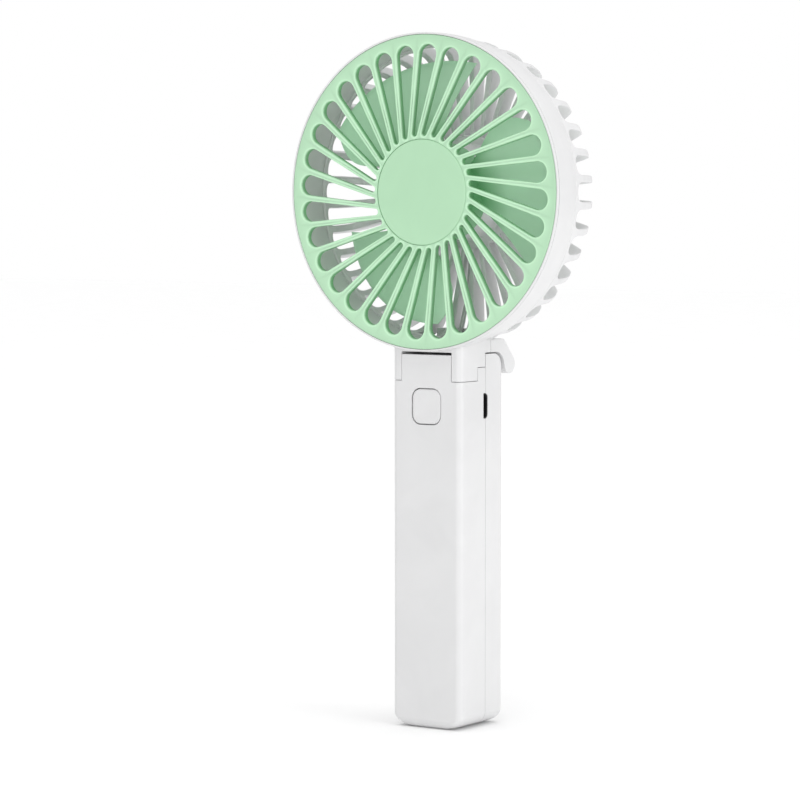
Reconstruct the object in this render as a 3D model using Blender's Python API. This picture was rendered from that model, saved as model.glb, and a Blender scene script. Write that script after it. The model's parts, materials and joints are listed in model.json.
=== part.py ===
"""Handheld electric fan: a folding head with a guarded impeller on a rectangular battery handle.

Frame: metres, +Z up, the fan blows towards -Y, origin at the centre of the handle's base.
Shapes are written in millimetres and scaled once, when an object is finished.
"""
import bpy
import bmesh
from math import asin, cos, pi, radians, sin, sqrt
from mathutils import Matrix, Vector
from mathutils.geometry import delaunay_2d_cdt

MM = 0.001
TAU = 2.0 * pi
GAP = 0.3                     # air left between neighbouring mouldings
FIT = 0.05                    # air left round pins, screws and shafts
SLIVER = 0.01                 # regions smaller than this lie between points in line

# handle
HANDLE_HALF_X = 12.85
HANDLE_HALF_Y = 12.5
HANDLE_TOP = 117.25
HANDLE_EDGE = 2.2             # radius of the four upright edges
BASE_CORNER_X = 7.5           # width of the base's rounding seen from the front
BASE_CORNER_Z = 4.5           # and its height
BASE_ROUND_Y = 3.0            # base radius seen from the side
TOP_ROUND = 4.2               # radius of the rear top edge
WALL = 1.8
SEAM_Y = 1.8                  # parting plane of the two handle shells
SEAM_HALF_GAP = 0.12
CAVITY_FLOOR = 2.0
CAVITY_SHOULDER = 107.0       # above this the cavity narrows to run inside the tongue
CAVITY_TOP = 115.4
TONGUE_HALF_X = 9.15
RECESS_FRONT_Z = 108.8        # side recesses that take the neck's arms
RECESS_REAR_Z = 113.1
RECESS_STEP_Y = -2.7
LEAD_BORE_Y = 6.6             # bore that takes the motor leads from handle to neck
LEAD_BORE_R = 1.5
SCREW_SEAT_Y = SEAM_Y + 6.2   # where a shell screw's head bears

# head
HEAD_Z = 167.7
FRONT_Y = -13.3
GRILLE_R = 48.5
HOUSING_R = 49.3
HOUSING_REAR_R = 48.25
HOUSING_BORE_R = 46.2
HOUSING_LEDGE = 0.5           # depth of the ledge the grille rests on
HOUSING_LEDGE_R = 48.85
HOUSING_DEPTH = 10.5

# front grille
SLOTS = 32
SLOT_PITCH = TAU / SLOTS
SLOT_PHASE = radians(3.0)     # clockwise angle of the first slot's outer end
SLOT_OFFSET = 6.2             # distance from the slots' straight centre lines to the head's axis
SLOT_OUTER_AT = 42.4
SLOT_OUTER_R = 3.2
SLOT_INNER_AT = 18.4
SLOT_INNER_R = 1.0
GRILLE_THICK = 2.0
GRILLE_FRONT = -2.0           # the grille's front face and the ring's front edge
HUB_RECESS_R = 16.5
HUB_RECESS_FLOOR = -0.9
HUB_BACK = 0.4

# rear guard
FINS = 36
FIN_PITCH = TAU / FINS
FIN_THICK_RIM = 2.3
FIN_THICK_BOSS = 1.35
FIN_INNER_R = 17.4            # the fins end inside the boss
BOSS_R = 18.0
CUP_MOUTH_R = 9.5
CUP_R = 15.0
CUP_BORE_R = 12.5
CUP_FRONT = 12.6
BOSS_FRONT = 24.2
BOSS_REAR = 29.8

# head hinge
HINGE_Y = 16.0
HINGE_Z = 113.6
KNUCKLE_R = 3.0
KNUCKLE_HALF_MID = 5.6
PIN_R = 0.8
NECK_UNDER = 117.65           # underside of the neck over the handle's top
NECK_UNDER_FRONT = 118.1      # and in front of the tongue
NECK_SPLIT_Y = 4.9

# motor and impeller
MOTOR_FRONT = 14.0
MOTOR_REAR = 26.2
MOTOR_R = 12.2
SHAFT_R = 1.0
SHAFT_FIT = 0.03
BUSH_R = SHAFT_R + 1.45
BUSH_SEAT_R = SHAFT_R + 1.5
BLADES = 3
BLADE_TIP_R = 41.0
BLADE_FRONT_AT = radians(58.0)   # clockwise angle of a blade's front edge at the tip
BLADE_BULGE = radians(11.0)      # how far that edge leads between hub and tip
BLADE_ARC = (radians(50.0), radians(74.0))       # from front edge to rear edge, at hub and tip
BLADE_FRONT_DEPTH = (4.8, 5.4)
BLADE_REAR_DEPTH = (11.0, 16.6)
BLADE_THICK = 1.3
BLADE_RADII = (14.7, 20.0, 25.0, 30.0, 35.0, 38.5, BLADE_TIP_R)
BLADE_STEPS = 8
IMPELLER_HUB_R = 15.5
ARMATURE_FRONT = 17.3
ARMATURE_REAR = 21.3
POLES = 3
MOTOR_LEAD_R = 0.38

# push button and port
BUTTON_Z = 101.1
BUTTON_W = 10.7
BUTTON_H = 11.2
BUTTON_CORNER = 3.0
BUTTON_TRAVEL = 0.5
PORT_Z = 101.05

# circuit board and cell
BOARD_FRONT_Y = 3.2
BOARD_THICK = 1.2
BOARD_Z0 = 87.9
BOARD_Z1 = 106.2
CELL_R = 9.15
CELL_Z0 = 9.2
CELL_Z1 = 74.2
BATTERY_LEAD_R = 0.5
SCREW_Z = (5.2, 79.6)


# ---------------------------------------------------------------- meshes
def mesh_object(verts, faces):
    """A new object, in millimetres, from plain vertex and face lists."""
    mesh = bpy.data.meshes.new("work")
    bm = bmesh.new()
    made = [bm.verts.new(v) for v in verts]
    for face in faces:
        bm.faces.new([made[i] for i in face])
    bmesh.ops.recalc_face_normals(bm, faces=bm.faces[:])
    bm.to_mesh(mesh)
    bm.free()
    obj = bpy.data.objects.new("work", mesh)
    bpy.context.scene.collection.objects.link(obj)
    return obj


def combine(target, other, operation):
    """Boolean `other` into `target`, then discard `other`."""
    modifier = target.modifiers.new("bool", "BOOLEAN")
    modifier.operation = operation
    modifier.solver = "EXACT"
    modifier.object = other
    bpy.context.view_layer.update()
    evaluated = target.evaluated_get(bpy.context.evaluated_depsgraph_get())
    mesh = bpy.data.meshes.new_from_object(evaluated)
    target.modifiers.clear()
    old = target.data
    target.data = mesh
    bpy.data.meshes.remove(old)
    bpy.data.objects.remove(other, do_unlink=True)
    return target


def cut(target, *cutters):
    for cutter in cutters:
        combine(target, cutter, "DIFFERENCE")
    return target


def join(target, *others):
    for other in others:
        combine(target, other, "UNION")
    return target


def loft(rings):
    """Closed solid through rings of equal length, with flat end caps."""
    count = len(rings[0])
    verts = [v for ring in rings for v in ring]
    faces = []
    for k in range(len(rings) - 1):
        low, high = k * count, (k + 1) * count
        for i in range(count):
            j = (i + 1) % count
            faces.append((low + i, low + j, high + j, high + i))
    faces.append(tuple(range(count)))
    faces.append(tuple(range(len(verts) - count, len(verts))))
    return mesh_object(verts, faces)


def prism(outline, axis, low, high):
    """Extrude a 2-D outline along an axis; the outline lies in the other two, in X, Y, Z order."""
    def place(point, level):
        a, b = point
        return {"X": (level, a, b), "Y": (a, level, b), "Z": (a, b, level)}[axis]
    return loft([[place(p, low) for p in outline], [place(p, high) for p in outline]])


def box(x0, x1, y0, y1, z0, z1):
    return prism([(x0, y0), (x1, y0), (x1, y1), (x0, y1)], "Z", z0, z1)


def arc(centre, radius, start, stop, steps):
    """Points on an arc; angles in radians, anticlockwise from the first axis."""
    return [(centre[0] + radius * cos(start + (stop - start) * i / steps),
             centre[1] + radius * sin(start + (stop - start) * i / steps)) for i in range(steps + 1)]


def rounded_rect(a0, a1, b0, b1, radius, steps=4):
    points = []
    corners = ((a1, b1, 0.0), (a0, b1, 0.5), (a0, b0, 1.0), (a1, b0, 1.5))
    for a, b, turn in corners:
        centre = (a - radius if a == a1 else a + radius, b - radius if b == b1 else b + radius)
        points += arc(centre, radius, turn * pi, (turn + 0.5) * pi, steps)
    return points


def lathe(profile, segments, axis="Y", origin=(0.0, FRONT_Y, HEAD_Z)):
    """Revolve a closed (radius, distance) profile; by default round the head's axis."""
    verts, index = [], []
    for radius, along in profile:
        ring = []
        for i in range(segments if radius > 0.0 else 1):
            a, b = radius * cos(TAU * i / segments), radius * sin(TAU * i / segments)
            local = {"X": (along, a, b), "Y": (b, along, a), "Z": (a, b, along)}[axis]
            ring.append(len(verts))
            verts.append(tuple(o + v for o, v in zip(origin, local)))
        index.append(ring)
    faces = []
    for k, ring in enumerate(index):
        after = index[(k + 1) % len(index)]
        for i in range(segments):
            j = (i + 1) % segments
            if len(ring) == 1 and len(after) == 1:
                continue
            if len(ring) == 1:
                faces.append((ring[0], after[j], after[i]))
            elif len(after) == 1:
                faces.append((ring[i], ring[j], after[0]))
            else:
                faces.append((ring[i], ring[j], after[j], after[i]))
    return mesh_object(verts, faces)


def rod(axis, origin, radius, low, high, segments=24):
    """Plain cylinder with flat ends, along an axis through the origin."""
    def place(a, b, along):
        local = {"X": (along, a, b), "Y": (b, along, a), "Z": (a, b, along)}[axis]
        return tuple(o + v for o, v in zip(origin, local))
    return loft([[place(radius * cos(TAU * i / segments), radius * sin(TAU * i / segments), level)
                  for i in range(segments)] for level in (low, high)])


def wire(points, radius, segments=6):
    """A round lead through the points."""
    path = [Vector(p) for p in points]
    side = Vector((1.0, 0.0, 0.0))
    rings = []
    for i, point in enumerate(path):
        before = (point - path[i - 1]).normalized() if i else (path[1] - path[0]).normalized()
        after = (path[i + 1] - point).normalized() if i + 1 < len(path) else before
        along = (before + after).normalized()
        if abs(along.dot(side)) > 0.9:
            side = Vector((0.0, 1.0, 0.0))
        u = (side - along * side.dot(along)).normalized()
        v = along.cross(u)
        rings.append([tuple(point + radius * (cos(TAU * k / segments) * u + sin(TAU * k / segments) * v))
                      for k in range(segments)])
    return loft(rings)


def inside(point, loop):
    """Even-odd test of a point against a closed loop."""
    x, y = point
    hit = False
    for i, (x1, y1) in enumerate(loop):
        x0, y0 = loop[i - 1]
        if (y1 > y) != (y0 > y) and x < (x0 - x1) * (y - y1) / (y0 - y1) + x1:
            hit = not hit
    return hit


def fill(outer, hole):
    """Triangulate the area between a loop and a hole in it."""
    points = [Vector(p) for p in outer + hole]
    walls = []
    for start, loop in ((0, outer), (len(outer), hole)):
        walls += [(start + i, start + (i + 1) % len(loop)) for i in range(len(loop))]
    verts, _, faces, _, _, _ = delaunay_2d_cdt(points, walls, [], 0, 1e-5)
    fixed = {frozenset(wall) for wall in walls}
    region = list(range(len(faces)))

    def root(i):
        while region[i] != i:
            i = region[i]
        return i

    seen = {}
    for index, face in enumerate(faces):
        for i, a in enumerate(face):
            edge = frozenset((a, face[(i + 1) % len(face)]))
            if edge in seen and edge not in fixed:
                region[root(index)] = root(seen[edge])
            seen[edge] = index
    middles = [sum((verts[i] for i in face), Vector((0.0, 0.0))) / len(face) for face in faces]
    areas = [abs((verts[f[1]] - verts[f[0]]).cross(verts[f[2]] - verts[f[0]])) for f in faces]
    kept = []
    for index, face in enumerate(faces):
        largest = max((k for k in range(len(faces)) if root(k) == root(index)), key=lambda k: areas[k])
        if areas[largest] > SLIVER and inside(middles[largest], outer) and not inside(middles[largest], hole):
            kept.append(tuple(face))
    return [tuple(v) for v in verts], kept


# ---------------------------------------------------------------- finishing
def finish(name, obj, material, pivot=(0.0, 0.0, 0.0), sharp=32.0):
    """Scale to metres, put the origin on the pivot, shade and colour the piece."""
    bm = bmesh.new()
    bm.from_mesh(obj.data)
    bmesh.ops.remove_doubles(bm, verts=bm.verts[:], dist=0.001)
    bmesh.ops.dissolve_degenerate(bm, edges=bm.edges[:], dist=0.0005)
    bmesh.ops.recalc_face_normals(bm, faces=bm.faces[:])
    bm.to_mesh(obj.data)
    bm.free()
    obj.data.transform(Matrix.Translation([-p for p in pivot]))
    obj.data.transform(Matrix.Scale(MM, 4))
    obj.location = [p * MM for p in pivot]
    obj.name = name
    obj.data.name = name
    obj.data.materials.clear()
    obj.data.materials.append(material)
    obj.data.polygons.foreach_set("use_smooth", [True] * len(obj.data.polygons))
    obj.data.set_sharp_from_angle(angle=radians(sharp))
    return obj


def principled(name, colour, roughness, metallic=0.0):
    material = bpy.data.materials.get(name)
    if material is None:
        material = bpy.data.materials.new(name)
        material.use_nodes = True
        shader = material.node_tree.nodes["Principled BSDF"]
        shader.inputs["Base Color"].default_value = (*colour, 1.0)
        shader.inputs["Roughness"].default_value = roughness
        shader.inputs["Metallic"].default_value = metallic
        material.diffuse_color = (*colour, 1.0)
        material.roughness = roughness
        material.metallic = metallic
    return material


def white_plastic():
    return principled("white_plastic", (0.83, 0.83, 0.83), 0.36)


def mint_plastic():
    return principled("mint_plastic", (0.45, 0.78, 0.48), 0.40)


def mint_cap_plastic():
    return principled("mint_cap_plastic", (0.47, 0.76, 0.55), 0.32)


def mint_blade_plastic():
    return principled("mint_blade_plastic", (0.36, 0.68, 0.42), 0.38)


def black_plastic():
    return principled("black_plastic", (0.015, 0.015, 0.016), 0.45)


def bright_steel():
    return principled("bright_steel", (0.62, 0.63, 0.65), 0.25, 1.0)


def motor_steel():
    return principled("motor_steel", (0.50, 0.51, 0.53), 0.38, 1.0)


def copper_wire():
    return principled("copper_wire", (0.72, 0.33, 0.13), 0.35, 1.0)


def brass():
    return principled("brass", (0.74, 0.54, 0.22), 0.30, 1.0)


def magnet_grey():
    return principled("magnet_grey", (0.06, 0.06, 0.065), 0.6)


def board_green():
    return principled("board_green", (0.02, 0.16, 0.07), 0.4)


def cell_wrap():
    return principled("cell_wrap", (0.08, 0.25, 0.52), 0.3)


def red_lead():
    return principled("red_lead", (0.62, 0.03, 0.03), 0.45)


def white_lead():
    return principled("white_lead", (0.78, 0.78, 0.78), 0.45)


def black_lead():
    return principled("black_lead", (0.02, 0.02, 0.02), 0.45)


# ---------------------------------------------------------------- handle
def handle_block():
    """The handle's full outer form, before it is parted and hollowed."""
    rings = []
    for z in (0.0, 0.25, 0.7, 1.4, 2.2, 3.1, BASE_CORNER_Z):
        inset_x = BASE_CORNER_X * rounding(z / BASE_CORNER_Z)
        inset_y = BASE_ROUND_Y * rounding(z / BASE_ROUND_Y)
        rings.append(handle_ring(z, HANDLE_HALF_X - inset_x, -HANDLE_HALF_Y + inset_y,
                                 HANDLE_HALF_Y - inset_y))
    for step in range(6):
        angle = 0.5 * pi * step / 5
        z = HANDLE_TOP - TOP_ROUND + TOP_ROUND * sin(angle)
        rear = HANDLE_HALF_Y - TOP_ROUND + TOP_ROUND * cos(angle)
        rings.append(handle_ring(z, HANDLE_HALF_X, -HANDLE_HALF_Y, rear))
    return loft(rings)


def rounding(share):
    """How far a quarter round is still set back, as a share of its width, at a share of its height."""
    return 1.0 - sqrt(max(0.0, 1.0 - (1.0 - min(share, 1.0)) ** 2))


def handle_ring(z, half_x, front, rear):
    return [(x, y, z) for x, y in rounded_rect(-half_x, half_x, front, rear, HANDLE_EDGE)]


def handle_cavity():
    lower = rounded_rect(-HANDLE_HALF_X + WALL, HANDLE_HALF_X - WALL,
                         -HANDLE_HALF_Y + WALL, HANDLE_HALF_Y - WALL, 1.2, 2)
    upper = box(-TONGUE_HALF_X + WALL, TONGUE_HALF_X - WALL, -HANDLE_HALF_Y + WALL,
                HANDLE_HALF_Y - WALL - 2.3, CAVITY_SHOULDER - 1.0, CAVITY_TOP)
    return join(prism(lower, "Z", CAVITY_FLOOR, CAVITY_SHOULDER), upper)


def port_outline(grow=0.0):
    """The charging port's mouth, wide towards the front, in Y and Z."""
    front, rear, wide, narrow = -1.25 - grow, 1.25 + grow, 4.0 + grow, 3.2 + grow
    return [(SEAM_Y + front, PORT_Z - wide), (SEAM_Y + 0.2, PORT_Z - wide), (SEAM_Y + rear, PORT_Z - narrow),
            (SEAM_Y + rear, PORT_Z + narrow), (SEAM_Y + 0.2, PORT_Z + wide), (SEAM_Y + front, PORT_Z + wide)]


def port_cutter():
    return prism(port_outline(), "X", HANDLE_HALF_X - WALL - 1.0, HANDLE_HALF_X + 1.0)


def button_outline(grow):
    return rounded_rect(-BUTTON_W / 2 - grow, BUTTON_W / 2 + grow,
                        BUTTON_Z - BUTTON_H / 2 - grow, BUTTON_Z + BUTTON_H / 2 + grow,
                        BUTTON_CORNER + grow, 5)


def handle_front_shell():
    reach = 2.0 * HANDLE_HALF_X
    shell = cut(handle_block(), handle_cavity(),
                box(-reach, reach, SEAM_Y - SEAM_HALF_GAP, reach, -5.0, HANDLE_TOP + 5.0))
    for side in (-1.0, 1.0):
        x0, x1 = sorted((side * TONGUE_HALF_X, side * reach))
        cut(shell, box(x0, x1, -reach, RECESS_STEP_Y, RECESS_FRONT_Z, HANDLE_TOP + 5.0),
            box(x0, x1, RECESS_STEP_Y - 1.0, reach, RECESS_REAR_Z, HANDLE_TOP + 5.0))
    cut(shell, prism(button_outline(GAP), "Y", -HANDLE_HALF_Y - 1.0, -HANDLE_HALF_Y + WALL + 1.0),
        port_cutter())
    for z in SCREW_Z:
        join(shell, rod("Y", (0.0, 0.0, z), 2.3, -HANDLE_HALF_Y + WALL - 0.5, SEAM_Y - 0.4))
        cut(shell, rod("Y", (0.0, 0.0, z), 0.95, -HANDLE_HALF_Y + WALL + 1.0, SEAM_Y, 12))
    return finish("handle_front_shell", shell, white_plastic())


def handle_rear_shell():
    reach = 2.0 * HANDLE_HALF_X
    shell = cut(handle_block(), handle_cavity(),
                box(-reach, reach, -reach, SEAM_Y + SEAM_HALF_GAP, -5.0, HANDLE_TOP + 5.0), port_cutter())
    for z in SCREW_Z:
        join(shell, rod("Y", (0.0, 0.0, z), 3.1, SEAM_Y + 0.4, HANDLE_HALF_Y - WALL + 0.5))
        cut(shell, rod("Y", (0.0, 0.0, z), 1.2, SEAM_Y, HANDLE_HALF_Y, 12),
            rod("Y", (0.0, 0.0, z), 2.1, SCREW_SEAT_Y, HANDLE_HALF_Y + 1.0))
    web = arc((HINGE_Y, HINGE_Z), KNUCKLE_R, -0.5 * pi, 0.82 * pi, 22)
    web += [(HANDLE_HALF_Y - 1.5, web[-1][1]), (HANDLE_HALF_Y - 1.0, HINGE_Z - KNUCKLE_R)]
    join(shell, prism(web, "X", -KNUCKLE_HALF_MID, KNUCKLE_HALF_MID))
    cut(shell, rod("X", (0.0, HINGE_Y, HINGE_Z), PIN_R + FIT, -reach, reach, 16),
        rod("Z", (0.0, LEAD_BORE_Y, 0.0), LEAD_BORE_R, CAVITY_TOP - 1.0, HANDLE_TOP + 1.0, 16))
    return finish("handle_rear_shell", shell, white_plastic())


def shell_screws():
    seat = SCREW_SEAT_Y
    profile = [(0.0, -3.0), (0.5, -2.6), (0.88, -1.8), (0.88, seat + 0.1), (1.9, seat + 0.1),
               (1.9, seat + 1.3), (1.5, seat + 1.6), (0.7, seat + 1.6), (0.0, seat + 0.9)]
    for name, z in zip(("shell_screw_lower", "shell_screw_upper"), SCREW_Z):
        finish(name, lathe(profile, 14, "Y", (0.0, 0.0, z)), bright_steel())


def hinge_pin():
    half = HANDLE_HALF_X - 0.35
    profile = [(0.0, -half), (PIN_R - 0.15, -half), (PIN_R, -half + 0.2), (PIN_R, half - 0.2),
               (PIN_R - 0.15, half), (0.0, half)]
    finish("hinge_pin", lathe(profile, 16, "X", (0.0, HINGE_Y, HINGE_Z)), bright_steel())


# ---------------------------------------------------------------- power
def battery():
    edge = 0.5
    wrap = [(0.0, CELL_Z0), (CELL_R - edge, CELL_Z0), (CELL_R, CELL_Z0 + edge), (CELL_R, CELL_Z1 - 1.6),
            (CELL_R - 0.5, CELL_Z1 - 1.1), (CELL_R - edge, CELL_Z1 - 0.7), (5.0, CELL_Z1 - 0.7),
            (0.0, CELL_Z1 - 0.7)]
    origin = (0.0, 0.0, 0.0)
    finish("battery_cell", lathe(wrap, 32, "Z", origin), cell_wrap())
    cap = [(0.0, CELL_Z1 - 0.65), (4.2, CELL_Z1 - 0.65), (4.2, CELL_Z1 - 0.3), (3.2, CELL_Z1 - 0.05),
           (0.0, CELL_Z1 - 0.05)]
    finish("battery_cap", lathe(cap, 18, "Z", origin), bright_steel())
    finish("battery_tab_top", box(-2.0, 8.4, -2.0, 2.0, CELL_Z1, CELL_Z1 + 0.25), bright_steel())
    finish("battery_tab_bottom", box(-8.6, 2.0, -2.0, 2.0, CELL_Z0 - 0.35, CELL_Z0 - 0.1), bright_steel())


def battery_leads():
    low_tab, high_tab, board_low = CELL_Z0 - 0.8, CELL_Z1 + 0.9, BOARD_Z0 + 0.3
    red = [(6.5, 0.0, high_tab), (7.2, 0.6, high_tab + 1.6), (8.0, 2.0, 80.0), (7.6, 2.4, board_low),
           (7.6, 2.4, BOARD_Z0 + 3.4)]
    black = [(-7.4, 1.0, low_tab - 0.3), (-9.0, 5.0, low_tab), (-9.4, 8.0, 12.0), (-9.4, 8.4, 70.0),
             (-9.0, 7.0, 78.0), (-7.8, 5.3, board_low), (-7.6, 5.2, BOARD_Z0 + 3.4)]
    finish("battery_lead_red", wire(red, BATTERY_LEAD_R), red_lead())
    finish("battery_lead_black", wire(black, BATTERY_LEAD_R), black_lead())


def circuit_board():
    rear = BOARD_FRONT_Y + BOARD_THICK
    board = prism(rounded_rect(-10.2, 10.2, BOARD_Z0, BOARD_Z1, 0.8, 2), "Y", BOARD_FRONT_Y, rear)
    finish("circuit_board", board, board_green())
    charger = box(-2.5, 2.5, rear + 0.1, rear + 1.5, BOARD_Z0 + 10.4, BOARD_Z0 + 14.4)
    finish("charger_chip", charger, black_plastic())
    boost = box(-7.4, -4.4, rear + 0.1, rear + 1.2, BOARD_Z0 + 12.8, BOARD_Z0 + 15.8)
    finish("boost_chip", boost, black_plastic())
    coil = prism(rounded_rect(2.5, 8.3, BOARD_Z0 + 2.6, BOARD_Z0 + 8.4, 1.4, 3), "Y", rear + 0.1, rear + 2.9)
    finish("boost_inductor", coil, magnet_grey())
    can = [(0.0, 0.1), (2.0, 0.1), (2.0, 4.2), (1.7, 4.5), (0.0, 4.5)]
    finish("filter_capacitor", lathe(can, 14, "Y", (-3.2, rear, BOARD_Z0 + 5.4)), bright_steel())


def charging_port():
    mouth, back = HANDLE_HALF_X - WALL - 0.15, 5.6
    y0, y1 = SEAM_Y - 1.15, SEAM_Y + 1.2

    def outline(inset):
        return [(y0 + inset, PORT_Z - 3.8 + inset), (SEAM_Y + 0.2, PORT_Z - 3.8 + inset),
                (y1 - inset, PORT_Z - 3.0 + inset), (y1 - inset, PORT_Z + 3.0 - inset),
                (SEAM_Y + 0.2, PORT_Z + 3.8 - inset), (y0 + inset, PORT_Z + 3.8 - inset)]

    shell = cut(prism(outline(0.0), "X", back, mouth), prism(outline(0.3), "X", back + 0.4, mouth + 1.0))
    finish("usb_port_shell", shell, black_plastic())
    finish("usb_port_tongue", box(back + 0.5, mouth - 0.6, SEAM_Y - 0.35, SEAM_Y + 0.25,
                                  PORT_Z - 2.6, PORT_Z + 2.6), black_plastic())


def push_switch():
    front = BOARD_FRONT_Y - 3.7
    body = prism(rounded_rect(-3.0, 3.0, BUTTON_Z - 3.0, BUTTON_Z + 3.0, 0.4, 2), "Y", front,
                 BOARD_FRONT_Y - 0.1)
    well = rod("Y", (0.0, 0.0, BUTTON_Z), 1.85, front - 1.0, BOARD_FRONT_Y - 1.2, 20)
    finish("switch_body", cut(body, well), black_plastic())
    plunger = [(0.0, -8.2), (1.4, -8.2), (1.6, -8.0), (1.6, front + 1.2), (0.0, front + 1.2)]
    finish("switch_plunger", lathe(plunger, 16, "Y", (0.0, 0.0, BUTTON_Z)), mint_cap_plastic())


def button_cap():
    face = -HANDLE_HALF_Y + 0.05
    wall_rear = -HANDLE_HALF_Y + WALL
    rings = [(-0.45, face), (-0.12, face + 0.12), (0.0, face + 0.45), (0.0, wall_rear + 0.9)]
    cap = loft([[(x, y, z) for x, z in button_outline(grow)] for grow, y in rings])
    flange = prism(button_outline(1.0), "Y", wall_rear + 0.15, wall_rear + 0.95)
    stem = rod("Y", (0.0, 0.0, BUTTON_Z), 1.9, wall_rear + 0.5, -8.4, 20)
    finish("button_cap", join(cap, flange, stem), white_plastic())


def motor_leads_in_handle():
    for name, x, y in (("motor_lead_plus_lower", 0.5, 5.4), ("motor_lead_minus_lower", -0.5, 6.0)):
        points = [(8.0 * x, y, BOARD_Z1 - 3.4), (7.0 * x, y + 0.3, BOARD_Z1 + 0.1),
                  (2.0 * x, LEAD_BORE_Y - 0.4, CAVITY_TOP - 4.7), (x, LEAD_BORE_Y, CAVITY_TOP - 1.7),
                  (x, LEAD_BORE_Y, HANDLE_TOP - 0.4)]
        finish(name, wire(points, MOTOR_LEAD_R), white_lead())


# ---------------------------------------------------------------- head
def head_housing():
    profile = [(HOUSING_LEDGE_R, GRILLE_FRONT + 0.15), (HOUSING_R - 0.3, GRILLE_FRONT),
               (HOUSING_R, GRILLE_FRONT + 0.45), (HOUSING_R - 0.1, 4.0), (HOUSING_R - 0.5, 7.5),
               (HOUSING_REAR_R, HOUSING_DEPTH), (HOUSING_BORE_R, HOUSING_DEPTH),
               (HOUSING_BORE_R, HOUSING_LEDGE), (HOUSING_LEDGE_R, HOUSING_LEDGE)]
    housing = lathe(profile, 96)
    arm_low, arm_step = RECESS_FRONT_Z + GAP, RECESS_REAR_Z + 0.4
    arm_rear, step_rear, top = RECESS_STEP_Y - GAP, 1.3, HEAD_Z - 45.0
    outline = [(-HANDLE_HALF_Y, arm_low), (arm_rear, arm_low), (arm_rear, arm_step), (step_rear, arm_step),
               (step_rear, NECK_UNDER), (NECK_SPLIT_Y - 0.12, NECK_UNDER), (NECK_SPLIT_Y - 0.12, top),
               (-HANDLE_HALF_Y, top)]
    neck = prism(outline, "X", -HANDLE_HALF_X, HANDLE_HALF_X)
    column = rounded_rect(-HANDLE_HALF_X, HANDLE_HALF_X, -HANDLE_HALF_Y, HANDLE_HALF_Y, HANDLE_EDGE)
    combine(neck, prism(column, "Z", 100.0, 130.0), "INTERSECT")
    arm_inner = TONGUE_HALF_X + GAP
    cut(neck, box(-arm_inner, arm_inner, -HANDLE_HALF_Y - 5.0, 1.3, 100.0, NECK_UNDER_FRONT),
        rod("Y", (0.0, FRONT_Y, HEAD_Z), HOUSING_BORE_R + 1.0, 0.0, 60.0, 80),
        rod("Y", (0.0, FRONT_Y, HEAD_Z), HOUSING_REAR_R + 0.17, HOUSING_DEPTH + 0.05, 60.0, 80))
    return finish("head_housing", join(housing, neck), white_plastic(), (0.0, HINGE_Y, HINGE_Z))


GUARD_EDGES = (  # inner (radius, depth) and outer (radius, depth) of a fin, from rim to boss
    ((45.4, HOUSING_DEPTH + 0.15), (HOUSING_REAR_R, HOUSING_DEPTH + 0.15)),
    ((45.4, 12.0), (48.2, 12.0)),
    ((45.2, 14.5), (47.9, 17.0)),
    ((44.2, 17.5), (47.2, 20.8)),
    ((42.3, 20.0), (45.6, 24.6)),
    ((38.5, 21.4), (42.8, 27.3)),
    ((29.0, 22.9), (31.0, 28.7)),
    ((FIN_INNER_R, 24.4), (FIN_INNER_R, 29.5)),
)


def guard_ribs():
    """Rim and radial fins as one closed mesh, three angular columns to a fin pitch."""
    stations = len(GUARD_EDGES)
    columns = 3 * FINS
    verts, key = [], {}
    for column in range(columns):
        fin, part = divmod(column, 3)
        for s, edges in enumerate(GUARD_EDGES):
            for side, (radius, depth) in enumerate(edges):
                share = (radius - FIN_INNER_R) / (HOUSING_REAR_R - FIN_INNER_R)
                half = 0.5 * (FIN_THICK_BOSS + (FIN_THICK_RIM - FIN_THICK_BOSS) * share)
                angle = FIN_PITCH * (fin + 0.5) + (-asin(half / radius), asin(half / radius),
                                                   0.5 * FIN_PITCH)[part]
                if part == 2 and s > 1:
                    continue
                key[column, s, side] = len(verts)
                verts.append((radius * sin(angle), FRONT_Y + depth, HEAD_Z + radius * cos(angle)))
    faces = []
    for column in range(columns):
        after = (column + 1) % columns
        is_fin = column % 3 == 0
        for s in range(stations - 1 if is_fin else 1):
            for side in (0, 1):
                faces.append((key[column, s, side], key[after, s, side],
                              key[after, s + 1, side], key[column, s + 1, side]))
            if is_fin and s > 0:
                for edge in (column, after):
                    faces.append((key[edge, s, 0], key[edge, s, 1],
                                  key[edge, s + 1, 1], key[edge, s + 1, 0]))
        ends = (0, stations - 1) if is_fin else (0, 1)
        for s in ends:
            faces.append((key[column, s, 0], key[after, s, 0], key[after, s, 1], key[column, s, 1]))
    return mesh_object(verts, faces)


def guard_boss():
    """Motor cup and the disc where the fins meet."""
    profile = [(CUP_MOUTH_R, CUP_FRONT), (CUP_R - 0.4, CUP_FRONT), (CUP_R, CUP_FRONT + 0.4),
               (CUP_R, BOSS_FRONT), (BOSS_R, BOSS_FRONT), (BOSS_R, BOSS_REAR - 0.4),
               (BOSS_R - 0.4, BOSS_REAR), (CUP_BORE_R, BOSS_REAR), (CUP_BORE_R, CUP_FRONT + 1.2),
               (CUP_MOUTH_R, CUP_FRONT + 1.2)]
    return lathe(profile, 48)


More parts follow.
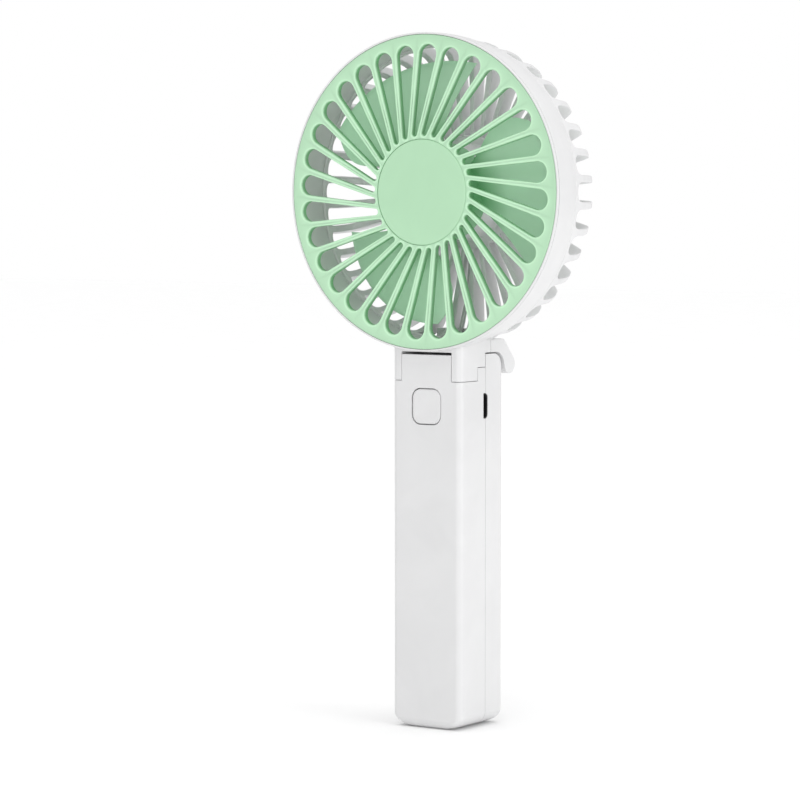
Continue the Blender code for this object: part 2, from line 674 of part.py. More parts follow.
def neck_rear():
    """Rear half of the neck, which curls over the handle's top edge to the hinge."""
    corner = (HANDLE_HALF_Y - TOP_ROUND, HANDLE_TOP - TOP_ROUND)
    under = arc(corner, TOP_ROUND + 0.4, 0.5 * pi, 0.04 * pi, 6)
    barrel = arc((HINGE_Y, HINGE_Z), KNUCKLE_R, -0.98 * pi, 0.24 * pi, 12)
    front, shelf = NECK_SPLIT_Y + 0.12, HEAD_Z - 46.0
    outline = [(front, NECK_UNDER)] + under + barrel + [(13.1, shelf - 0.6), (12.4, shelf), (front, shelf)]
    neck = prism(outline, "X", -HANDLE_HALF_X, HANDLE_HALF_X)
    join(neck, box(-9.0, 9.0, 7.3, 12.2, shelf - 1.0, shelf + 3.0))
    notch = KNUCKLE_HALF_MID + GAP
    cut(neck, box(-notch, notch, 10.6, 25.0, 100.0, NECK_UNDER),
        rod("X", (0.0, HINGE_Y, HINGE_Z), PIN_R + FIT, -30.0, 30.0, 16))
    return neck


def rear_guard():
    guard = join(guard_ribs(), guard_boss(), neck_rear())
    cut(guard, rod("Z", (0.0, LEAD_BORE_Y, 0.0), LEAD_BORE_R, NECK_UNDER - 1.0, HEAD_Z - 41.0, 16),
        box(-1.1, 1.1, FRONT_Y + 26.4, FRONT_Y + 28.0, HEAD_Z - BOSS_R - 1.0, HEAD_Z - CUP_BORE_R + 1.0))
    return finish("rear_guard", guard, white_plastic(), (0.0, HINGE_Y, HINGE_Z))


def slot_angle(radius):
    """Clockwise angle of the first slot's centre line at a radius."""
    return SLOT_PHASE + asin(SLOT_OFFSET / SLOT_OUTER_AT) - asin(SLOT_OFFSET / radius)


def polar(radius, angle):
    return Vector((radius * sin(angle), radius * cos(angle)))


def slot_loop():
    """A tapered slot: the hull of a large circle near the rim and a small one near the hub."""
    outer = polar(SLOT_OUTER_AT, slot_angle(SLOT_OUTER_AT))
    inner = polar(SLOT_INNER_AT, slot_angle(SLOT_INNER_AT))
    along = (outer - inner).normalized()
    across = Vector((-along.y, along.x))
    lean = asin((SLOT_OUTER_R - SLOT_INNER_R) / (outer - inner).length)
    loop = []
    for centre, radius, start, stop, steps in (
            (outer, SLOT_OUTER_R, -0.5 * pi - lean, 0.5 * pi + lean, 7),
            (inner, SLOT_INNER_R, 0.5 * pi + lean, 1.5 * pi - lean, 2)):
        points = [centre + radius * (cos(start + (stop - start) * i / steps) * along
                                     + sin(start + (stop - start) * i / steps) * across)
                  for i in range(steps + 1)]
        if loop:
            loop += [loop[-1].lerp(points[0], f) for f in (0.33, 0.67)]
        loop += points
    loop += [loop[-1].lerp(loop[0], f) for f in (0.33, 0.67)]
    return [tuple(p) for p in loop]


def sector_loop():
    """One grille pitch, from spoke centre to spoke centre."""
    radii = (HUB_RECESS_R, 26.0, 36.0, 45.8, GRILLE_R)
    low = [polar(r, slot_angle(r) - 0.5 * SLOT_PITCH) for r in radii]
    rim = [polar(GRILLE_R, slot_angle(GRILLE_R) + f * SLOT_PITCH) for f in (-0.17, 0.17)]
    high = [polar(r, slot_angle(r) + 0.5 * SLOT_PITCH) for r in reversed(radii)]
    hub = [polar(HUB_RECESS_R, slot_angle(HUB_RECESS_R))]
    return [tuple(p) for p in low + rim + high + hub]


def grille_plan():
    """The grille seen flat: points and triangles of all its pitches, welded."""
    verts2d, triangles = fill(sector_loop(), slot_loop())
    bm = bmesh.new()
    for k in range(SLOTS):
        turn = Matrix.Rotation(-k * SLOT_PITCH, 2)
        made = [bm.verts.new((*(turn @ Vector(p)), 0.0)) for p in verts2d]
        for triangle in triangles:
            bm.faces.new([made[i] for i in triangle])
    bmesh.ops.remove_doubles(bm, verts=bm.verts[:], dist=0.003)
    bm.verts.index_update()
    flat = [v.co.to_2d() for v in bm.verts]
    faces = [tuple(v.index for v in f.verts) for f in bm.faces]
    bm.free()
    return flat, faces


def front_grille():
    flat, faces2d = grille_plan()
    count = len(flat)
    verts = [(p.x, FRONT_Y + GRILLE_FRONT, HEAD_Z + p.y) for p in flat]
    verts += [(p.x, FRONT_Y + GRILLE_FRONT + GRILLE_THICK, HEAD_Z + p.y) for p in flat]
    faces = list(faces2d) + [tuple(i + count for i in f) for f in faces2d]
    uses = {}
    for face in faces2d:
        for i, a in enumerate(face):
            b = face[(i + 1) % len(face)]
            uses.setdefault(frozenset((a, b)), []).append((a, b))
    open_edges = [pair[0] for pair in uses.values() if len(pair) == 1]
    hub_edges = [e for e in open_edges if flat[e[0]].length < HUB_RECESS_R + 0.1]
    faces += [(a, b, b + count, a + count) for a, b in open_edges if (a, b) not in hub_edges]
    ring = {}
    for a, _ in hub_edges:
        ring[a] = len(verts)
        verts.append((flat[a].x, FRONT_Y + HUB_RECESS_FLOOR, HEAD_Z + flat[a].y))
    floor, back = len(verts), len(verts) + 1
    verts += [(0.0, FRONT_Y + HUB_RECESS_FLOOR, HEAD_Z), (0.0, FRONT_Y + HUB_BACK, HEAD_Z)]
    for a, b in hub_edges:
        faces += [(a, b, ring[b], ring[a]), (ring[a], ring[b], floor), (a + count, b + count, back)]
    return finish("front_grille", mesh_object(verts, faces), mint_plastic(), (0.0, HINGE_Y, HINGE_Z))


def grille_centre_cap():
    front = GRILLE_FRONT - 0.12
    radius = HUB_RECESS_R - 0.22
    profile = [(0.0, front), (radius - 0.35, front), (radius, front + 0.3), (radius, HUB_RECESS_FLOOR - 0.1),
               (0.0, HUB_RECESS_FLOOR - 0.1)]
    finish("grille_centre_cap", lathe(profile, 56), mint_cap_plastic(), (0.0, HINGE_Y, HINGE_Z))


def motor_cover():
    profile = [(0.0, BOSS_REAR - 1.2), (10.6, BOSS_REAR - 1.2), (10.6, BOSS_REAR - 2.2),
               (CUP_BORE_R - 0.2, BOSS_REAR - 2.2), (CUP_BORE_R - 0.2, BOSS_REAR + 0.15),
               (14.0, BOSS_REAR + 0.15), (13.7, BOSS_REAR + 0.6), (11.0, BOSS_REAR + 0.85),
               (0.0, BOSS_REAR + 0.95)]
    finish("motor_cover", lathe(profile, 48), white_plastic(), (0.0, HINGE_Y, HINGE_Z))


# ---------------------------------------------------------------- motor
def head_piece(name, obj, material):
    return finish(name, obj, material, (0.0, HINGE_Y, HINGE_Z))


def motor_case():
    can = [(BUSH_SEAT_R, MOTOR_FRONT - 1.1), (3.3, MOTOR_FRONT - 1.1), (3.3, MOTOR_FRONT),
           (MOTOR_R - 0.8, MOTOR_FRONT), (MOTOR_R, MOTOR_FRONT + 0.8), (MOTOR_R, MOTOR_REAR),
           (MOTOR_R - 0.8, MOTOR_REAR), (MOTOR_R - 0.8, MOTOR_FRONT + 0.9),
           (BUSH_SEAT_R, MOTOR_FRONT + 0.9)]
    head_piece("motor_can", lathe(can, 32), motor_steel())
    front_bush = [(SHAFT_R + FIT, MOTOR_FRONT - 1.0), (BUSH_R, MOTOR_FRONT - 1.0),
                  (BUSH_R, MOTOR_FRONT + 1.2), (SHAFT_R + FIT, MOTOR_FRONT + 1.2)]
    head_piece("motor_bush_front", lathe(front_bush, 12), brass())
    bell = [(BUSH_SEAT_R, MOTOR_REAR - 1.9), (MOTOR_R - 1.0, MOTOR_REAR - 1.9),
            (MOTOR_R - 1.0, MOTOR_REAR - 0.2), (BUSH_SEAT_R, MOTOR_REAR - 0.2)]
    head_piece("motor_end_bell", lathe(bell, 28), black_plastic())
    rear_bush = [(SHAFT_R + FIT, MOTOR_REAR - 1.9), (BUSH_R, MOTOR_REAR - 1.9),
                 (BUSH_R, MOTOR_REAR), (SHAFT_R + FIT, MOTOR_REAR)]
    head_piece("motor_bush_rear", lathe(rear_bush, 12), brass())
    magnet = [(9.7, MOTOR_FRONT + 2.0), (MOTOR_R - 0.9, MOTOR_FRONT + 2.0),
              (MOTOR_R - 0.9, MOTOR_REAR - 3.0), (9.7, MOTOR_REAR - 3.0)]
    head_piece("motor_magnet", lathe(magnet, 28), magnet_grey())


def motor_terminals():
    y0 = FRONT_Y + MOTOR_REAR - 0.1
    for name, side in (("motor_terminal_red", 1.0), ("motor_terminal_black", -1.0)):
        x0, x1 = sorted((side * 1.2, side * 3.0))
        head_piece(name, box(x0, x1, y0, y0 + 0.35, HEAD_Z - 9.6, HEAD_Z - 5.6), brass())


def motor_leads_in_head():
    y = FRONT_Y + 27.0
    for name, x in (("motor_lead_plus_upper", 0.45), ("motor_lead_minus_upper", -0.45)):
        points = [(x, LEAD_BORE_Y, NECK_UNDER + 0.6), (x, LEAD_BORE_Y, HEAD_Z - 44.4),
                  (x, 8.4, HEAD_Z - 41.0), (x, 11.2, HEAD_Z - 34.0), (x, 12.8, HEAD_Z - 25.0),
                  (x, y, HEAD_Z - BOSS_R - 0.6), (x, y, HEAD_Z - 12.0), (3.0 * x, y - 0.2, HEAD_Z - 9.4)]
        head_piece(name, wire(points, MOTOR_LEAD_R), white_lead())


# ---------------------------------------------------------------- rotor
def rotor_piece(name, obj, material):
    return finish(name, obj, material, (0.0, FRONT_Y, HEAD_Z))


def blend(pair, share):
    return pair[0] + (pair[1] - pair[0]) * share


def blade_point(radius, across, face):
    """A point on one face of the first blade; across is 0 at its front edge and 1 at its rear edge."""
    share = min(1.0, max(0.0, (radius - IMPELLER_HUB_R) / (BLADE_TIP_R - IMPELLER_HUB_R)))
    front = BLADE_FRONT_AT - BLADE_BULGE * sin(pi * share ** 1.2)
    rear = BLADE_FRONT_AT + blend(BLADE_ARC, share ** 0.6)
    depth = blend((blend(BLADE_FRONT_DEPTH, share), blend(BLADE_REAR_DEPTH, share)), across ** 1.3)
    return radius, blend((front, rear), across), depth + face * 0.5 * BLADE_THICK


def blade(turn):
    verts, index = [], {}
    for face in (-1, 1):
        for i, radius in enumerate(BLADE_RADII):
            for j in range(BLADE_STEPS + 1):
                r, angle, depth = blade_point(radius, j / BLADE_STEPS, face)
                index[face, i, j] = len(verts)
                verts.append((r * sin(turn + angle), FRONT_Y + depth, HEAD_Z + r * cos(turn + angle)))
    faces = []
    last = len(BLADE_RADII) - 1
    for i in range(last):
        for j in range(BLADE_STEPS):
            for face in (-1, 1):
                faces.append((index[face, i, j], index[face, i, j + 1],
                              index[face, i + 1, j + 1], index[face, i + 1, j]))
        for j in (0, BLADE_STEPS):
            faces.append((index[-1, i, j], index[-1, i + 1, j], index[1, i + 1, j], index[1, i, j]))
    for j in range(BLADE_STEPS):
        for i in (0, last):
            faces.append((index[-1, i, j], index[-1, i, j + 1], index[1, i, j + 1], index[1, i, j]))
    return mesh_object(verts, faces)


def impeller():
    front, rear, skin = 3.4, 11.8, 1.3
    hub = [(0.0, front), (IMPELLER_HUB_R - 1.2, front), (IMPELLER_HUB_R, front + 1.2),
           (IMPELLER_HUB_R, rear), (IMPELLER_HUB_R - skin, rear), (IMPELLER_HUB_R - skin, front + skin),
           (3.0, front + skin), (3.0, rear - 0.6), (SHAFT_R + SHAFT_FIT, rear - 0.6),
           (SHAFT_R + SHAFT_FIT, front + 1.0), (0.0, front + 1.0)]
    body = lathe(hub, 48)
    for k in range(BLADES):
        join(body, blade(k * TAU / BLADES))
    rotor_piece("impeller", body, mint_blade_plastic())


def motor_shaft():
    profile = [(0.0, 4.6), (SHAFT_R - 0.2, 4.6), (SHAFT_R, 4.8), (SHAFT_R, MOTOR_REAR + 0.2),
               (0.0, MOTOR_REAR + 0.2)]
    rotor_piece("motor_shaft", lathe(profile, 14), bright_steel())


def armature():
    """Three-pole laminated core, its coils and the commutator."""
    y0, y1 = FRONT_Y + ARMATURE_FRONT, FRONT_Y + ARMATURE_REAR
    pole = ((3.2, -0.38), (6.9, -0.175), (7.5, -0.72), (9.3, -0.72), (9.4, -0.36), (9.4, 0.0),
            (9.4, 0.36), (9.3, 0.72), (7.5, 0.72), (6.9, 0.175), (3.2, 0.38))
    outline = []
    for k in range(POLES):
        for radius, offset in pole:
            angle = TAU * k / POLES + offset
            outline.append((radius * sin(angle), HEAD_Z + radius * cos(angle)))
    bore = rod("Y", (0.0, 0.0, HEAD_Z), SHAFT_R + SHAFT_FIT, y0 - 1.0, y1 + 1.0, 14)
    rotor_piece("armature_core", cut(prism(outline, "Y", y0, y1), bore), motor_steel())
    for k in range(POLES):
        turn = Matrix.Translation((0, 0, HEAD_Z)) @ Matrix.Rotation(TAU * k / POLES, 4, "Y")
        coil = cut(box(-3.1, 3.1, y0 - 1.5, y1 + 1.5, 4.0, 5.9),
                   box(-1.55, 1.55, y0 - 0.2, y1 + 0.2, 3.0, 7.6))
        coil.data.transform(turn)
        rotor_piece("armature_coil_%d" % (k + 1), coil, copper_wire())
    ring = [(SHAFT_R + SHAFT_FIT, 23.0), (2.3, 23.0), (2.3, 24.1), (SHAFT_R + SHAFT_FIT, 24.1)]
    rotor_piece("commutator", lathe(ring, 14), brass())


# ---------------------------------------------------------------- assembly
def clear_scene():
    for obj in list(bpy.data.objects):
        bpy.data.objects.remove(obj, do_unlink=True)


def build():
    clear_scene()
    handle_front_shell()
    handle_rear_shell()
    shell_screws()
    hinge_pin()
    battery()
    battery_leads()
    circuit_board()
    charging_port()
    push_switch()
    button_cap()
    motor_leads_in_handle()
    head_housing()
    rear_guard()
    front_grille()
    grille_centre_cap()
    motor_cover()
    motor_case()
    motor_terminals()
    motor_leads_in_head()
    impeller()
    motor_shaft()
    armature()


build()
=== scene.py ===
import json
from math import asin, cos, hypot, pi, radians, sin, sqrt

import bmesh
import bpy
from mathutils import Matrix, Vector


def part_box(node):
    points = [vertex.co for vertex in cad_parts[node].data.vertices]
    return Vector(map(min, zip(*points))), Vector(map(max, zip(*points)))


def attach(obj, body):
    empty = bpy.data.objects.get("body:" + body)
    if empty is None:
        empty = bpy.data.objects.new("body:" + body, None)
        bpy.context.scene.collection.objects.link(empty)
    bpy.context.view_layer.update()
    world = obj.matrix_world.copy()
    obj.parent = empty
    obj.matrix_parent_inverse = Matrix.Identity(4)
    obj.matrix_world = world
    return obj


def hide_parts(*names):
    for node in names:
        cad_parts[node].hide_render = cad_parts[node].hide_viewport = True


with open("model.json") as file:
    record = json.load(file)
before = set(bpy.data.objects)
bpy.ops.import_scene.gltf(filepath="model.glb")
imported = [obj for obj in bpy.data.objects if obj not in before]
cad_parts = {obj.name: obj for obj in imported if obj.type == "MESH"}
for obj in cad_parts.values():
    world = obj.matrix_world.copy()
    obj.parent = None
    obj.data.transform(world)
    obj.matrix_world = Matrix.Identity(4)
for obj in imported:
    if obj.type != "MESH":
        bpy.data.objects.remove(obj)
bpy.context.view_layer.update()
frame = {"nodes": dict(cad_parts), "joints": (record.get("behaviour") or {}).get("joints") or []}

# Looks for the handheld electric fan. Shapes are written in millimetres, in the frame's axes, and
# scaled once when a piece is finished. Depths run backward from a plane 2 mm behind the head's flat
# front, and angles round the head run clockwise from its top, as seen from the front.
MM = 0.001
TAU = 2.0 * pi
GAP = 0.3                     # air between mouldings that slide or fold past each other
LINE = 0.14                   # parting lines seen on the outside
HAIRLINE = 0.05               # half of a seam that is pressed shut
EDGE_BEVEL = 0.22             # rounding of the mouldings' outer edges
BROAD_FACE = 1.5              # faces above this area, in square millimetres, never count as edges
HIGHLIGHT_FROM = 0.10             # convexity at which the painted edge highlight starts to show
HIGHLIGHT_SPAN = 0.25             # and how much more makes it show fully
PAINTED_SHADE_DEPTH = (0.30, 0.58, 0.34)  # painted shade of a recessed wall, as shares of the plastic's own colour


# ---------------------------- dimensions, from the frame
def box_mm(node):
    low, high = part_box(node)
    return low / MM, high / MM


def joint_mm(name):
    joint = next(j for j in frame["joints"] if j["name"] == name)
    return Vector(joint["pos_m"]) / MM


grille_low, grille_high = box_mm("front_grille")
housing_low, housing_high = box_mm("head_housing")
shell_low, shell_high = box_mm("handle_front_shell")
button_low, button_high = box_mm("button_cap")
port_low, port_high = box_mm("usb_port_shell")
cover_high = box_mm("motor_cover")[1]
pin_low, pin_high = box_mm("hinge_pin")

HEAD_Z = 0.5 * (grille_low.z + grille_high.z)
GRILLE_FRONT = -2.0           # the grille's front face and the ring's front edge, as depths
FRONT_Y = housing_low.y - GRILLE_FRONT
GRILLE_R = 0.5 * (grille_high.x - grille_low.x)
HOUSING_R = 0.5 * (housing_high.x - housing_low.x)
HALF_X = shell_high.x
HALF_Y = -shell_low.y
HANDLE_TOP = shell_high.z
ARM_LOW = housing_low.z
_, HINGE_Y, HINGE_Z = joint_mm("head_fold")
BUTTON_Z = 0.5 * (button_low.z + button_high.z)
PORT_Z = 0.5 * (port_low.z + port_high.z)

# handle
HANDLE_EDGE = 2.2
BASE_CORNER_X = 7.5
BASE_CORNER_Z = 4.5
BASE_ROUND_Y = 3.0
TOP_ROUND = 4.2
WALL = 1.8
SEAM_Y = 1.8
SCREW_SEAT_Y = SEAM_Y + 6.2
SCREW_POST_R = 2.3            # the front shell's posts and their pilot holes
SCREW_PILOT_R = 0.95
SCREW_BOSS_R = 3.1            # the rear shell's bosses, their clearance holes and the heads' wells
SCREW_CLEAR_R = 1.2
SCREW_WELL_R = 2.1
LEAD_BORE_Y = 6.6             # bore that takes the motor leads from handle to neck
LEAD_BORE_R = 1.5
TONGUE_HALF_X = 9.15
RECESS_FRONT_Z = ARM_LOW - LINE
RECESS_REAR_Z = ARM_LOW + 4.0
RECESS_STEP_Y = -2.7
CAVITY_FLOOR = 2.0
CAVITY_SHOULDER = RECESS_FRONT_Z - WALL
SCREWS = ("shell_screw_lower", "shell_screw_upper")
SCREW_Z = tuple(0.5 * (low.z + high.z) for low, high in map(box_mm, SCREWS))
BUTTON_W = 10.7
BUTTON_H = 11.2
BUTTON_CORNER = 3.0

# head
HOUSING_REAR_R = HOUSING_R - 1.05
HOUSING_BORE_R = HOUSING_R - 3.1
HOUSING_LEDGE = 0.5
HOUSING_DEPTH = 10.5
HEAD_SEGMENTS = 192           # sides of the ring and of the cutters that follow it
NECK_UNDER = HANDLE_TOP + 0.4
NECK_UNDER_FRONT = HANDLE_TOP + 0.85
NECK_SPLIT_Y = 4.9
NECK_TOP = HEAD_Z - 45.0      # the front half runs up into the ring
NECK_SHELF = HEAD_Z - 46.0    # the rear half ends in a shelf, with a block that joins the guard's rim
LEAD_SLOT_HALF = 1.1          # slot in the boss that lets the motor leads in
LEAD_SLOT_DEPTHS = (26.4, 28.0)
KNUCKLE_R = 3.0
KNUCKLE_HALF_MID = 5.6
PIN_R = 0.8
PIN_FIT = 0.05

# front grille
SLOTS = 32
SLOT_PITCH = TAU / SLOTS
SLOT_PHASE = radians(3.0)
SLOT_OFFSET = 6.2
SLOT_OUTER_AT = 42.4
SLOT_OUTER_R = 3.2
SLOT_INNER_AT = 18.4
SLOT_INNER_R = 1.0
GRILLE_THICK = 2.0
PLATE_R = GRILLE_R + 0.15
HUB_RECESS_R = 16.5
HUB_RECESS_FLOOR = -0.9
HUB_BACK = 0.4
LIP_ROUND = 0.38              # rounding of the slots' front edges
LIP_RISE = 0.10               # spokes and slot rims stand this much proud of the plate
RIM_ROUND = 0.35
SPOKE_END_R = 43.5            # beyond this radius a pitch's boundary belongs to the slot's outer end
CORNER_SHARES = (0.0, 0.33, 0.66, 0.93, 0.975)   # samples from there to the rim, close at the rim
SIDE_STEPS = 18               # points along a slot's side, round its outer end and its inner end
OUTER_STEPS = 24
INNER_STEPS = 8
CORNER_STEPS = len(CORNER_SHARES)

# rear guard
FINS = 36
FIN_PITCH = TAU / FINS
FIN_THICK_RIM = 2.3
FIN_THICK_BOSS = 1.35
FIN_INNER_R = 17.4            # the fins end inside the boss
GAP_ROUND = 0.61              # length of a gap's round end, as a share of a station of GUARD_EDGES
BOSS_R = 18.0
CUP_MOUTH_R = 9.5
CUP_R = 15.0
CUP_BORE_R = 12.5
CUP_FRONT = 12.6
BOSS_FRONT = 24.2
BOSS_REAR = 29.8

# impeller
BLADES = 3
BLADE_TIP_R = 41.0
BLADE_FRONT_AT = radians(58.0)
BLADE_BULGE = radians(11.0)
BLADE_ARC = (radians(50.0), radians(74.0))
BLADE_FRONT_DEPTH = (4.8, 5.4)
BLADE_REAR_DEPTH = (11.0, 16.6)
BLADE_THICK = 1.3
IMPELLER_HUB_R = 15.5
IMPELLER_HUB_FRONT = 3.4
IMPELLER_HUB_REAR = 11.8
IMPELLER_SKIN = 1.3
SHAFT_BORE_R = 1.03
HUB_SHADE = 0.85              # painted shade: how much darker the green is painted at the blades' roots
HUB_SHADE_R = 25.0            # and where that starts
HUB_SHADE_SPAN = 9.0

# camera
EYE_AZIMUTH = radians(33.0)
EYE_DISTANCE = 1019.9
LENS = 146.25
AIM_RIGHT = -7.7              # where the camera looks, from the centre of the head at depth 0
AIM_UP = -64.5

# studio, in metres, watts and world strength
FLOOR_HALF = 4.0
LIT_POINT = (0.0, 0.0, 0.12)
WORLD_LIGHT = 0.65            # strength of the world as a light
WORLD_SEEN = 1.0              # and where the camera sees it


# ---------------------------- mesh tools
def add_object(name, data):
    obj = bpy.data.objects.new(name, data)
    bpy.context.scene.collection.objects.link(obj)
    return obj


def mesh_object(verts, faces, painted_light=None):
    """A mesh object, with an optional value of painted light per vertex: 1 for a painted highlight on a
    ridge, down to -1 for painted shade in a recessed wall.
    """
    mesh = bpy.data.meshes.new("work")
    bm = bmesh.new()
    layer = bm.verts.layers.float.new("painted_light") if painted_light else None
    made = [bm.verts.new(v) for v in verts]
    if painted_light:
        for vert, value in zip(made, painted_light):
            vert[layer] = value
    for face in faces:
        bm.faces.new([made[i] for i in face])
    bmesh.ops.recalc_face_normals(bm, faces=bm.faces[:])
    bm.to_mesh(mesh)
    bm.free()
    return add_object("work", mesh)


def apply_modifiers(obj):
    """Replace the object's mesh by what its modifiers make of it."""
    bpy.context.view_layer.update()
    evaluated = obj.evaluated_get(bpy.context.evaluated_depsgraph_get())
    mesh = bpy.data.meshes.new_from_object(evaluated)
    obj.modifiers.clear()
    old = obj.data
    obj.data = mesh
    bpy.data.meshes.remove(old)
    return obj


def combine(target, other, operation):
    modifier = target.modifiers.new("bool", "BOOLEAN")
    modifier.operation = operation
    modifier.solver = "EXACT"
    modifier.object = other
    apply_modifiers(target)
    bpy.data.objects.remove(other, do_unlink=True)
    return target


def cut(target, *cutters):
    for cutter in cutters:
        combine(target, cutter, "DIFFERENCE")
    return target


def join(target, *others):
    for other in others:
        combine(target, other, "UNION")
    return target


def loft(rings):
    """Closed solid through rings of equal length, with flat end caps."""
    count = len(rings[0])
    verts = [v for ring in rings for v in ring]
    faces = []
    for k in range(len(rings) - 1):
        low, high = k * count, (k + 1) * count
        for i in range(count):
            j = (i + 1) % count
            faces.append((low + i, low + j, high + j, high + i))
    faces.append(tuple(range(count)))
    faces.append(tuple(range(len(verts) - count, len(verts))))
    return mesh_object(verts, faces)


def prism(outline, axis, low, high):
    """Extrude a 2-D outline along an axis; the outline lies in the other two, in X, Y, Z order."""
    def place(point, level):
        a, b = point
        return {"X": (level, a, b), "Y": (a, level, b), "Z": (a, b, level)}[axis]
    return loft([[place(p, low) for p in outline], [place(p, high) for p in outline]])


def box(x0, x1, y0, y1, z0, z1):
    return prism([(x0, y0), (x1, y0), (x1, y1), (x0, y1)], "Z", z0, z1)


def arc(centre, radius, start, stop, steps):
    return [(centre[0] + radius * cos(start + (stop - start) * i / steps),
             centre[1] + radius * sin(start + (stop - start) * i / steps)) for i in range(steps + 1)]


def rounded_rect(a0, a1, b0, b1, radius, steps=8):
    points = []
    corners = ((a1, b1, 0.0), (a0, b1, 0.5), (a0, b0, 1.0), (a1, b0, 1.5))
    for a, b, turn in corners:
        centre = (a - radius if a == a1 else a + radius, b - radius if b == b1 else b + radius)
        points += arc(centre, radius, turn * pi, (turn + 0.5) * pi, steps)
    return points


def turned(axis, origin, a, b, along):
    """The point at `along` on an axis through the origin, a and b to its sides."""
    local = {"X": (along, a, b), "Y": (b, along, a), "Z": (a, b, along)}[axis]
    return tuple(o + v for o, v in zip(origin, local))


def lathe(profile, segments, axis="Y", origin=None):
    """Revolve a closed (radius, distance) profile; by default round the head's axis."""
    origin = origin or (0.0, FRONT_Y, HEAD_Z)
    verts, index = [], []
    for radius, along in profile:
        ring = []
        for i in range(segments if radius > 0.0 else 1):
            angle = TAU * i / segments
            ring.append(len(verts))
            verts.append(turned(axis, origin, radius * cos(angle), radius * sin(angle), along))
        index.append(ring)
    faces = []
    for k, ring in enumerate(index):
        after = index[(k + 1) % len(index)]
        for i in range(segments):
            j = (i + 1) % segments
            if len(ring) == 1 and len(after) == 1:
                continue
            if len(ring) == 1:
                faces.append((ring[0], after[j], after[i]))
            elif len(after) == 1:
                faces.append((ring[i], ring[j], after[0]))
            else:
                faces.append((ring[i], ring[j], after[j], after[i]))
    return mesh_object(verts, faces)


def rod(axis, origin, radius, low, high, segments=48):
    """Plain cylinder with flat ends."""
    angles = [TAU * i / segments for i in range(segments)]
    return loft([[turned(axis, origin, radius * cos(angle), radius * sin(angle), level)
                  for angle in angles] for level in (low, high)])


def rounded_profile(corners, radius, steps=4):
    """A closed profile with its corners cut back and rounded; corners on the axis stay."""
    points = []
    count = len(corners)
    for i, corner in enumerate(corners):
        here = Vector(corner)
        if here.x <= 0.0:
            points.append(tuple(here))
            continue
        before, after = Vector(corners[i - 1]) - here, Vector(corners[(i + 1) % count]) - here
        reach = min(radius, 0.45 * before.length, 0.45 * after.length)
        start, stop = here + before.normalized() * reach, here + after.normalized() * reach
        for k in range(steps + 1):
            t = k / steps
            points.append(tuple((1 - t) ** 2 * start + 2 * t * (1 - t) * here + t * t * stop))
    return points


def weld(obj, merge, degenerate=0.0, flat=0.0, outward=False):
    """Merge close points; then drop short edges, join faces flat to each other, or turn faces out."""
    bm = bmesh.new()
    bm.from_mesh(obj.data)
    bmesh.ops.remove_doubles(bm, verts=bm.verts[:], dist=merge)
    if degenerate:
        bmesh.ops.dissolve_degenerate(bm, edges=bm.edges[:], dist=degenerate)
    if flat:
        bmesh.ops.dissolve_limit(bm, angle_limit=radians(flat), verts=bm.verts[:], edges=bm.edges[:])
    if outward:
        bmesh.ops.recalc_face_normals(bm, faces=bm.faces[:])
    bm.to_mesh(obj.data)
    bm.free()


def bevel(obj, width=EDGE_BEVEL, segments=3, angle=38.0):
    """Round the edges that are sharper than the angle."""
    weld(obj, 0.002, degenerate=0.001, flat=0.3)
    modifier = obj.modifiers.new("bevel", "BEVEL")
    modifier.width = width
    modifier.segments = segments
    modifier.limit_method = "ANGLE"
    modifier.angle_limit = radians(angle)
    modifier.use_clamp_overlap = True
    modifier.miter_outer = "MITER_ARC"
    return apply_modifiers(obj)


def shade(mesh, sharp):
    """Smooth normals, weighted by area so that flat faces stay flat, and broken at sharp edges."""
    mesh.polygons.foreach_set("use_smooth", [True] * len(mesh.polygons))
    normals = [p.normal.copy() for p in mesh.polygons]
    areas = [p.area for p in mesh.polygons]
    around = [[] for _ in mesh.vertices]
    for polygon in mesh.polygons:
        for vertex in polygon.vertices:
            around[vertex].append(polygon.index)
    limit = cos(sharp)
    split = []
    for polygon in mesh.polygons:
        own = normals[polygon.index]
        for vertex in polygon.vertices:
            total = Vector((0.0, 0.0, 0.0))
            for other in around[vertex]:
                if own.dot(normals[other]) > limit:
                    total += areas[other] * normals[other]
            split.append(total.normalized())
    mesh.normals_split_custom_set(split)


def paint_edge_highlights(mesh):
    """Painted highlight on edges, from how convex the surface is at each vertex, left at 0 wherever a broad
    flat face begins.
    """
    total = [Vector((0.0, 0.0, 0.0)) for _ in mesh.vertices]
    away = [Vector((0.0, 0.0, 0.0)) for _ in mesh.vertices]
    reach = [0.0] * len(mesh.vertices)
    largest = [0.0] * len(mesh.vertices)
    for polygon in mesh.polygons:
        centre = polygon.center
        for vertex in polygon.vertices:
            step = centre - mesh.vertices[vertex].co
            total[vertex] += polygon.normal
            away[vertex] += step
            reach[vertex] += step.length
            largest[vertex] = max(largest[vertex], polygon.area)
    layer = mesh.attributes.new("painted_light", "FLOAT", "POINT")
    for i in range(len(mesh.vertices)):
        if reach[i] > 0.0 and largest[i] < BROAD_FACE * MM * MM:
            drop = -away[i].dot(total[i].normalized()) / reach[i]
            layer.data[i].value = min(1.0, max(0.0, (drop - HIGHLIGHT_FROM) / HIGHLIGHT_SPAN))


